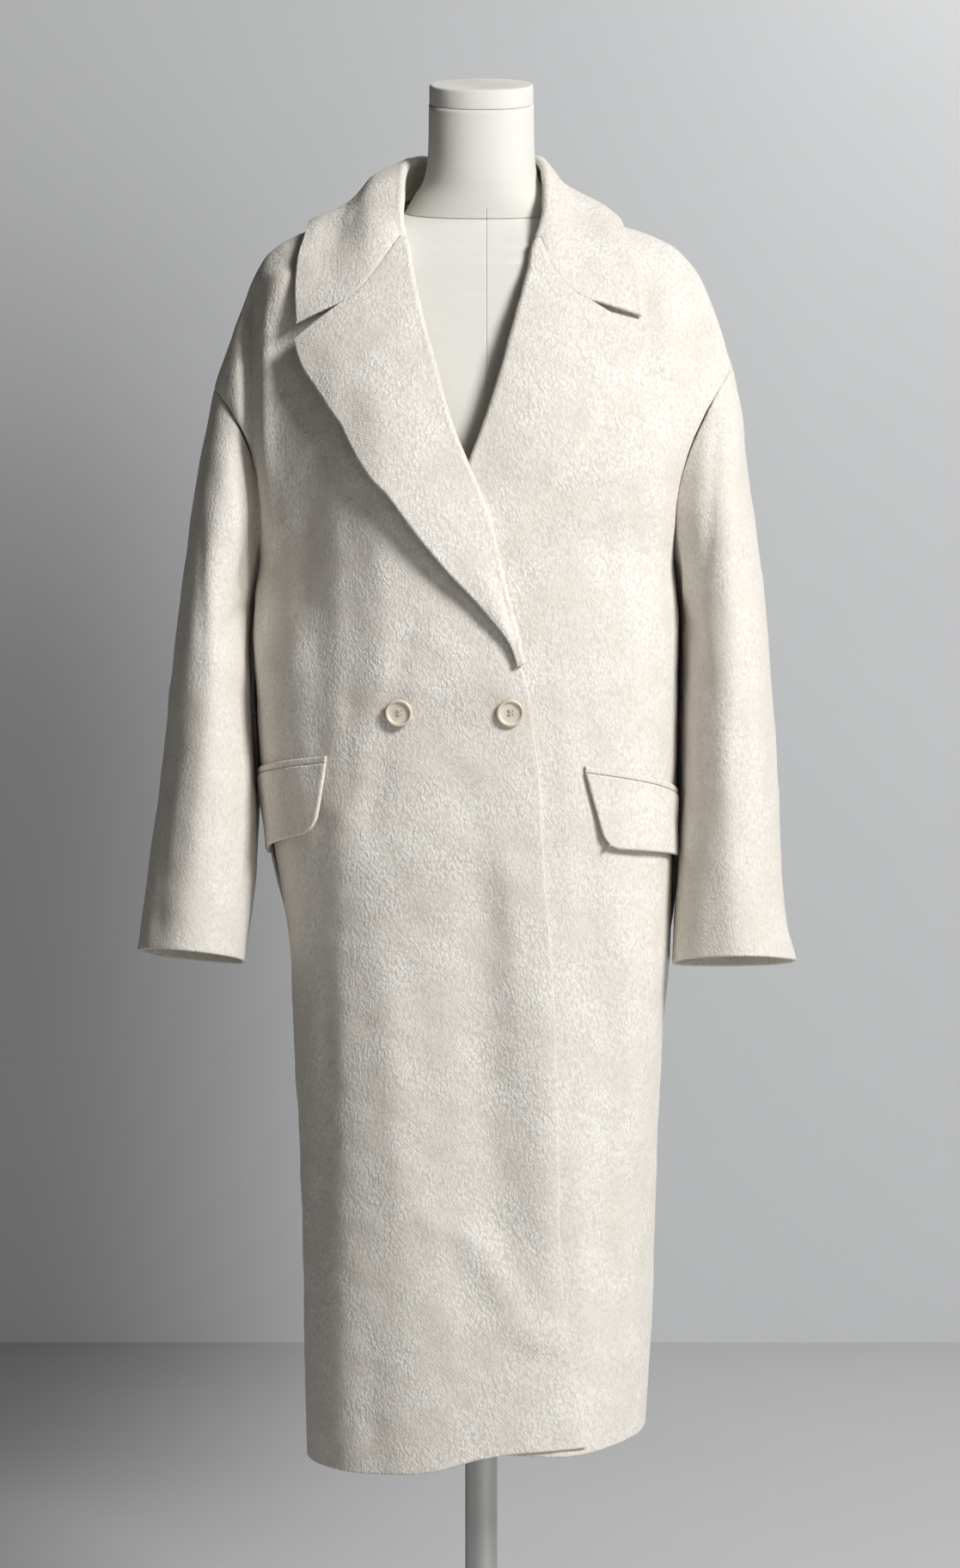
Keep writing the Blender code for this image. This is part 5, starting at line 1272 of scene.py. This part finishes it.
def surface_group(name, inputs):
    """A shader group that gives a surface's Height and a tone that holds painted shade, and the sheet it is
    drawn on.
    """
    group = bpy.data.node_groups.new(name, "ShaderNodeTree")
    for label, value in inputs.items():
        group.interface.new_socket(label, in_out="INPUT", socket_type="NodeSocketFloat").default_value = value
    for label in ("Height", "Tone"):
        group.interface.new_socket(label, in_out="OUTPUT", socket_type="NodeSocketFloat")
    return group, Sheet(group)


def boucle_group():
    """Curled wool yarn.  Height is the sum of curls (cells drawn out downward), loops, hairs and twill.

    The second output is painted shade, darker between the curls, with a slow random tone on top.  Twill is
    the weight of the fine diagonal wales from the piece's cut.
    """
    group, s = surface_group("boucle", {"Curl size": 0.0032, "Curls": 1.0, "Twill": 0.3})
    given = s.node("NodeGroupInput").outputs
    place = s.place()
    bend = s.node("ShaderNodeTexNoise", None, Vector=place, Scale=150.0, Detail=2.0).outputs["Color"]
    bend = s.node("ShaderNodeVectorMath", dict(operation="SCALE"), at0=bend, Scale=0.0050).outputs[0]
    curled = s.node("ShaderNodeVectorMath", dict(operation="ADD"), at0=place, at1=bend).outputs[0]
    drawn = s.node("ShaderNodeMapping", None, Vector=curled, Rotation=(0.0, 0.22, 0.0),
                   Scale=(1.0, 1.0, 0.60)).outputs[0]
    per_metre = s.math("DIVIDE", 1.0, given["Curl size"])
    cells = s.node("ShaderNodeTexVoronoi", dict(feature="SMOOTH_F1"), Vector=drawn, Scale=per_metre,
                   Smoothness=0.7).outputs["Distance"]
    patches = s.span(s.noise(place, 26.0), 0.35, 0.65, 0.45, 1.0)
    curls = s.product(s.span(cells, 0.05, 0.75, 1.0, 0.0), patches, given["Curls"])
    loops = s.noise(drawn, 760.0, 3.0, 0.65)
    hairs = s.noise(drawn, 2600.0, 2.0, 0.6)
    cut = s.split(s.node("ShaderNodeTexCoord").outputs["UV"])
    slant = s.total(cut["X"], s.product(cut["Y"], 0.9), s.product(s.noise(place, 70.0), 0.004))
    wale = s.math("SINE", s.product(slant, 2 * math.pi / 0.0034))
    wale = s.product(s.total(s.product(wale, 0.5), 0.5), given["Twill"])
    height = s.total(s.product(curls, 0.60), s.product(loops, 0.52), s.product(hairs, 0.14),
                     s.product(wale, 0.20))
    # painted shade: darker where curls, loops, hairs and wales are low, plus a slow random tone
    tone = s.span(s.total(height, s.product(s.noise(place, 9.0), 0.15)), 0.30, 1.0)
    s.node("NodeGroupOutput", None, Height=height, Tone=tone)
    return group


def weave_group():
    """Plain-woven linen: two crossed sets of threads, each uneven along its length, with a few slubs; painted
    shade darkens it where the threads are low.
    """
    group, s = surface_group("plain weave", {"Thread": 0.0011})
    given = s.node("NodeGroupInput").outputs
    place = s.place()
    split = s.split(place)
    round_way = s.product(s.math("ARCTAN2", split["X"], split["Y"]), 0.06)
    turn = s.math("DIVIDE", 2 * math.pi, given["Thread"])
    wander = s.product(s.noise(place, 110.0), 0.0016)
    warp, weft = (s.math("ABSOLUTE", s.math("SINE", s.product(s.total(way, wander), turn)))
                  for way in (round_way, split["Z"]))
    slubs = s.node("ShaderNodeMapping", None, Vector=place, Scale=(18.0, 18.0, 420.0)).outputs[0]
    slubs = s.span(s.noise(slubs, 1.0), 0.60, 0.80)
    height = s.total(s.product(s.total(warp, weft), 0.5), s.product(slubs, 0.22))
    # painted shade: the tone is darker where the threads are low
    s.node("NodeGroupOutput", None, Height=height, Tone=s.span(height, 0.2, 1.3))
    return group


def finish_start(name, roughness, metallic=0.0, sheen=0.0, sheen_roughness=0.5, tint=(1.0, 1.0, 1.0),
                 specular=0.5):
    """A material with its Principled shader's uniform values set on its own sockets."""
    finish = bpy.data.materials.new(name)
    finish.use_nodes = True
    shader = finish.node_tree.nodes["Principled BSDF"]
    for socket, value in (("Roughness", roughness), ("Metallic", metallic), ("Specular IOR Level", specular),
                          ("Sheen Weight", sheen), ("Sheen Roughness", sheen_roughness),
                          ("Sheen Tint", (*tint, 1.0))):
        shader.inputs[socket].default_value = value
    return finish, Sheet(finish.node_tree), shader


def coloured(s, shader, colour):
    """The shader takes its colour from a socket."""
    s.tree.links.new(colour, shader.inputs["Base Color"])


def raise_surface(s, shader, height, strength, distance):
    """A bump of the given height in metres."""
    bump = s.node("ShaderNodeBump", None, Strength=strength, Distance=distance, Height=height)
    s.tree.links.new(bump.outputs[0], shader.inputs["Normal"])


def wool(name, curl, curls, twill):
    """Cream boucle wool: the curls stand up as bump, with a warm, darker painted shade between them."""
    finish, s, shader = finish_start(name, 0.95, sheen=0.22, sheen_roughness=0.55, tint=(1.0, 0.97, 0.9),
                                     specular=0.15)
    boucle = s.node("ShaderNodeGroup", dict(node_tree=BOUCLE), Curl_size=curl, Curls=curls,
                    Twill=twill).outputs
    # painted shade between the curls, cream on them
    coloured(s, shader, s.blend(boucle["Tone"], CREAM_PAINTED_SHADE, CREAM))
    raise_surface(s, shader, boucle["Height"], WOOL_BUMP, WOOL_RISE)
    return finish


def linen(name, seam_half, seam_from, seam_to):
    """White linen with a sewn seam down the middle of the front between two heights."""
    finish, s, shader = finish_start(name, 0.85, sheen=0.1, specular=0.25)
    weave = s.node("ShaderNodeGroup", dict(node_tree=WEAVE)).outputs
    split = s.split(s.place())
    beside = s.math("ABSOLUTE", s.math("SUBTRACT", split["X"], SEAM_X))
    in_seam = s.product(s.span(beside, seam_half * 0.3, seam_half, 1.0, 0.0),
                        s.span(split["Y"], -0.010, 0.0, 1.0, 0.0),
                        s.span(split["Z"], seam_from - SEAM_END, seam_from),
                        s.span(split["Z"], seam_to, seam_to + SEAM_END, 1.0, 0.0))
    # painted shade between the linen's threads
    colour = s.blend(weave["Tone"], LINEN_PAINTED_SHADE, LINEN)
    coloured(s, shader, s.blend(s.product(in_seam, 0.30), colour, LINEN_SEAM))
    raise_surface(s, shader, s.math("SUBTRACT", s.product(weave["Height"], 0.3), in_seam), 0.7, 0.0007)
    return finish


def ivory():
    """Ivory button: cloudy, satin, with roughness that varies at random and a fine random bump."""
    finish, s, shader = finish_start("button ivory", 0.42, specular=0.45)
    place = s.place()
    cloud = s.span(s.noise(place, 160.0, 3.0), 0.3, 0.7)
    coloured(s, shader, s.blend(cloud, (0.62, 0.56, 0.45), (0.74, 0.69, 0.58)))
    s.tree.links.new(s.span(s.noise(place, 900.0, 3.0), 0.3, 0.7, 0.34, 0.52), shader.inputs["Roughness"])
    raise_surface(s, shader, s.noise(place, 1400.0), 0.25, 0.0002)
    return finish


def yarn():
    """Cream sewing thread: twisted ply, with painted shade in the grooves between the plies."""
    finish, s, shader = finish_start("button thread", 0.8, sheen=0.2, specular=0.2)
    ply = s.node("ShaderNodeTexWave", None, Vector=s.place(), Scale=900.0, Distortion=2.0).outputs["Fac"]
    # painted shade: the colour follows the ply's height, darker in its grooves
    coloured(s, shader, s.blend(ply, (0.52, 0.47, 0.38), (0.76, 0.72, 0.62)))
    raise_surface(s, shader, ply, 0.5, 0.0002)
    return finish


def steel():
    """Satin steel, brushed round: fine marks, and a few handling smudges in the roughness."""
    finish, s, shader = finish_start("stand satin steel", 0.34, metallic=0.9, specular=0.5)
    place = s.place()
    split = s.split(place)
    away = s.math("SQRT", s.total(s.math("POWER", split["X"], 2.0), s.math("POWER", split["Y"], 2.0)))
    across, down = s.product(away, BRUSHING), s.product(split["Z"], BRUSHING)
    lines = s.node("ShaderNodeCombineXYZ", None, X=across, Y=down, Z=0.0).outputs[0]
    marks = s.noise(lines, 1.0)
    smudge = s.span(s.noise(place, 14.0, 3.0), 0.35, 0.7, 0.0, 0.14)
    coloured(s, shader, s.blend(marks, (0.50, 0.50, 0.49), (0.66, 0.66, 0.65)))
    s.tree.links.new(s.total(s.span(marks, 0.3, 0.7, 0.26, 0.38), smudge), shader.inputs["Roughness"])
    raise_surface(s, shader, marks, 0.2, 0.0001)
    return finish


WOOL_BUMP = 0.60
WOOL_RISE = 0.0016
CREAM = (0.855, 0.846, 0.822)
# painted shade: the warm dark colour between the curls
CREAM_PAINTED_SHADE = (0.62, 0.566, 0.488)
LINEN = (0.86, 0.85, 0.81)
# painted shade: the linen's colour between its threads
LINEN_PAINTED_SHADE = (0.66, 0.65, 0.60)
LINEN_SEAM = (0.45, 0.43, 0.38)
SEAM_X = 0.0045              # the linen's seam lies this far from the middle
SEAM_END = 0.002             # and fades over this height at its ends
BRUSHING = 2600.0            # marks for each metre of brushed steel
BOUCLE = boucle_group()
WEAVE = weave_group()
WOOL = wool("wool boucle", 0.0024, 1.0, 0.25)
SLEEVE_WOOL = wool("wool boucle sleeve", 0.0024, 0.8, 0.55)
FACING = wool("wool boucle facing", 0.0026, 1.0, 0.45)
TORSO_LINEN = linen("linen torso", 0.0009, 0.80, 1.475)
NECK_LINEN = linen("linen neck", 0.0008, 1.440, 1.458)
IVORY = ivory()
THREAD_YARN = yarn()
STEEL = steel()


# ------------------------------------------------------------------------------------ making the pieces
def placed(piece, slot, *nodes):
    """The piece rides on the coat's one body and stands for CAD nodes, which it hides; 'slot' is not used."""
    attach(piece, "root")
    if nodes:
        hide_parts(*nodes)
    return piece


front_right = placed(front_panel(RIGHT, "front_right_cloth"), "wool", "front_right")
front_left = placed(front_panel(LEFT, "front_left_cloth"), "wool", "front_left")
back = placed(back_panel("back_cloth"), "wool", "back")
sleeve_right = placed(sleeve(RIGHT, "sleeve_right_cloth"), "wool", "sleeve_right")
sleeve_left = placed(sleeve(LEFT, "sleeve_left_cloth"), "wool", "sleeve_left")
lapel_right = placed(lapel(RIGHT, "lapel_right_cloth"), "wool_facing", "lapel_right")
lapel_left = placed(lapel(LEFT, "lapel_left_cloth"), "wool_facing", "lapel_left")
collar_cloth = placed(collar("collar_cloth"), "wool_facing", "collar")
for side, word in ((RIGHT, "right"), (LEFT, "left")):
    flap_cloth, welt_cloth = pocket(side, word)
    placed(flap_cloth, "wool_facing", f"flap_{word}")
    placed(welt_cloth, "wool_facing", f"welt_{word}")
for word, x in BUTTON_X.items():
    placed(button(f"button_{word}_disc", x), "button", f"button_{word}")
    placed(button_thread(f"button_{word}_thread", x), "button")
for cover, node in zip(dress_form(), ("form_torso", "form_neck", "form_cap")):
    placed(cover, "linen", node)
for metal, node in zip(stand(), ("stand_pole", "stand_base")):
    placed(metal, "stand_metal", node)


# ------------------------------------------------------------------------------------ studio
# Where the painted shadow on the studio's floor and wall dies away, across x.
SHADE_X = (-0.78, 0.02)
WALL_Y = 3.0
STUDIO = 14.0                # half the size of floor and wall


def plain(name, colour, roughness, shade, near, far):
    """A plain pale studio surface, clear when seen from behind, with a painted shadow on the viewer's left.

    The painted shadow dies away to the right along SHADE_X and grows from 'near' to 'far': to 'far' behind on
    the floor, and downward on the wall.
    """
    finish, s, shader = finish_start(name, roughness, specular=0.2)
    place = s.place()
    split = s.split(place)
    tone = s.span(s.noise(place, 1.5, 3.0), 0.3, 0.7, 0.0, 0.03)
    # painted shadow: darker on the viewer's left, and further back on the floor or lower on the wall
    leftward = s.span(split["X"], *SHADE_X, 1.0, 0.0, "SMOOTHSTEP")
    depth = s.span(split["Z" if near > far else "Y"], near, far, 0.0, shade, "SMOOTHSTEP")
    light = s.math("SUBTRACT", s.math("SUBTRACT", 1.0, s.product(leftward, depth)), tone)
    coloured(s, shader, s.blend(light, (0.0, 0.0, 0.0), colour))
    behind = s.node("ShaderNodeNewGeometry").outputs["Backfacing"]
    clear = s.node("ShaderNodeBsdfTransparent").outputs[0]
    mixed = s.node("ShaderNodeMixShader", None, at0=behind, at1=shader.outputs[0], at2=clear)
    s.tree.links.new(mixed.outputs[0], finish.node_tree.nodes["Material Output"].inputs["Surface"])
    return finish


def panel(name, corner, across, along, finish):
    """A flat surface from one corner and its two sides."""
    corner, across, along = (np.array(vector, float) for vector in (corner, across, along))
    corners = np.array((corner, corner + across, corner + across + along, corner + along))
    surface = mesh_object(name, corners, np.array([[0, 1, 2, 3]]), finish)


# Floor and wall: colour, roughness, and the strength and stretch of their painted shadow.
FLOOR = plain("studio floor", (0.60, 0.607, 0.607), 0.7, 0.62, 0.2, 2.2)
PAPER = plain("studio wall", (0.70, 0.71, 0.725), 0.9, 0.57, 2.25, 0.95)
panel("studio_floor", (-STUDIO, -STUDIO, 0), (2 * STUDIO, 0, 0), (0, 2 * STUDIO, 0), FLOOR)
panel("studio_wall", (-STUDIO, WALL_Y, 0), (2 * STUDIO, 0, 0), (0, 0, STUDIO), PAPER)


def softbox(name, place, aim, width, height, power, colour):
    """A rectangular studio light that looks at a point."""
    lamp = bpy.data.lights.new(name, "AREA")
    lamp.shape = "RECTANGLE"
    lamp.size, lamp.size_y = width, height
    lamp.energy = power
    lamp.color = colour
    thing = bpy.data.objects.new(name, lamp)
    bpy.context.scene.collection.objects.link(thing)
    thing.location = place
    away = np.array(place, float) - np.array(aim, float)
    thing.rotation_euler = (math.atan2(math.hypot(away[0], away[1]), away[2]), 0,
                            math.atan2(away[1], away[0]) + math.pi / 2)
    thing.visible_camera = False
    return thing


# place, point it looks at, width, height, power and colour
softbox("key_softbox", (2.76, -2.96, 3.45), (0.0, 0.0, 0.95), 1.3, 1.3, 262, (1.0, 0.997, 0.992))
softbox("front_softbox", (1.3, -3.75, 1.3), (0.0, 0.0, 0.85), 1.2, 1.5, 9, (1.0, 0.94, 0.86))
softbox("back_softbox", (1.3, 2.7, 2.6), (0.0, 0.0, 0.9), 1.6, 1.6, 30, (1.0, 0.99, 0.98))
softbox("wall_softbox", (0.9, 1.2, 3.3), (0.35, WALL_Y, 1.3), 1.6, 0.8, 4, (0.97, 0.985, 1.0))

world = bpy.data.worlds.new("studio")
world.use_nodes = True
world.node_tree.nodes["Background"].inputs["Color"].default_value = (1.0, 0.93, 0.84, 1.0)
world.node_tree.nodes["Background"].inputs["Strength"].default_value = 0.035
bpy.context.scene.world = world
bpy.context.scene.view_settings.view_transform = "Standard"

# The camera stands level before the coat; the picture is 1117 by 1824, and its column 560 is x = 0.
PICTURE = (1117, 1824)
FOCAL_PIXELS = 4750
SENSOR = 36.0
SHIFT_PIXELS = -1.5
camera = bpy.data.cameras.new("camera")
camera.sensor_fit = "VERTICAL"
camera.sensor_height = SENSOR
camera.lens = SENSOR * FOCAL_PIXELS / PICTURE[1]
camera.shift_x = SHIFT_PIXELS / PICTURE[1]
eye = bpy.data.objects.new("camera", camera)
eye.location = (0.0, -3.8, 0.93)
eye.rotation_euler = (math.pi / 2, 0, 0)
bpy.context.scene.collection.objects.link(eye)
bpy.context.scene.camera = eye
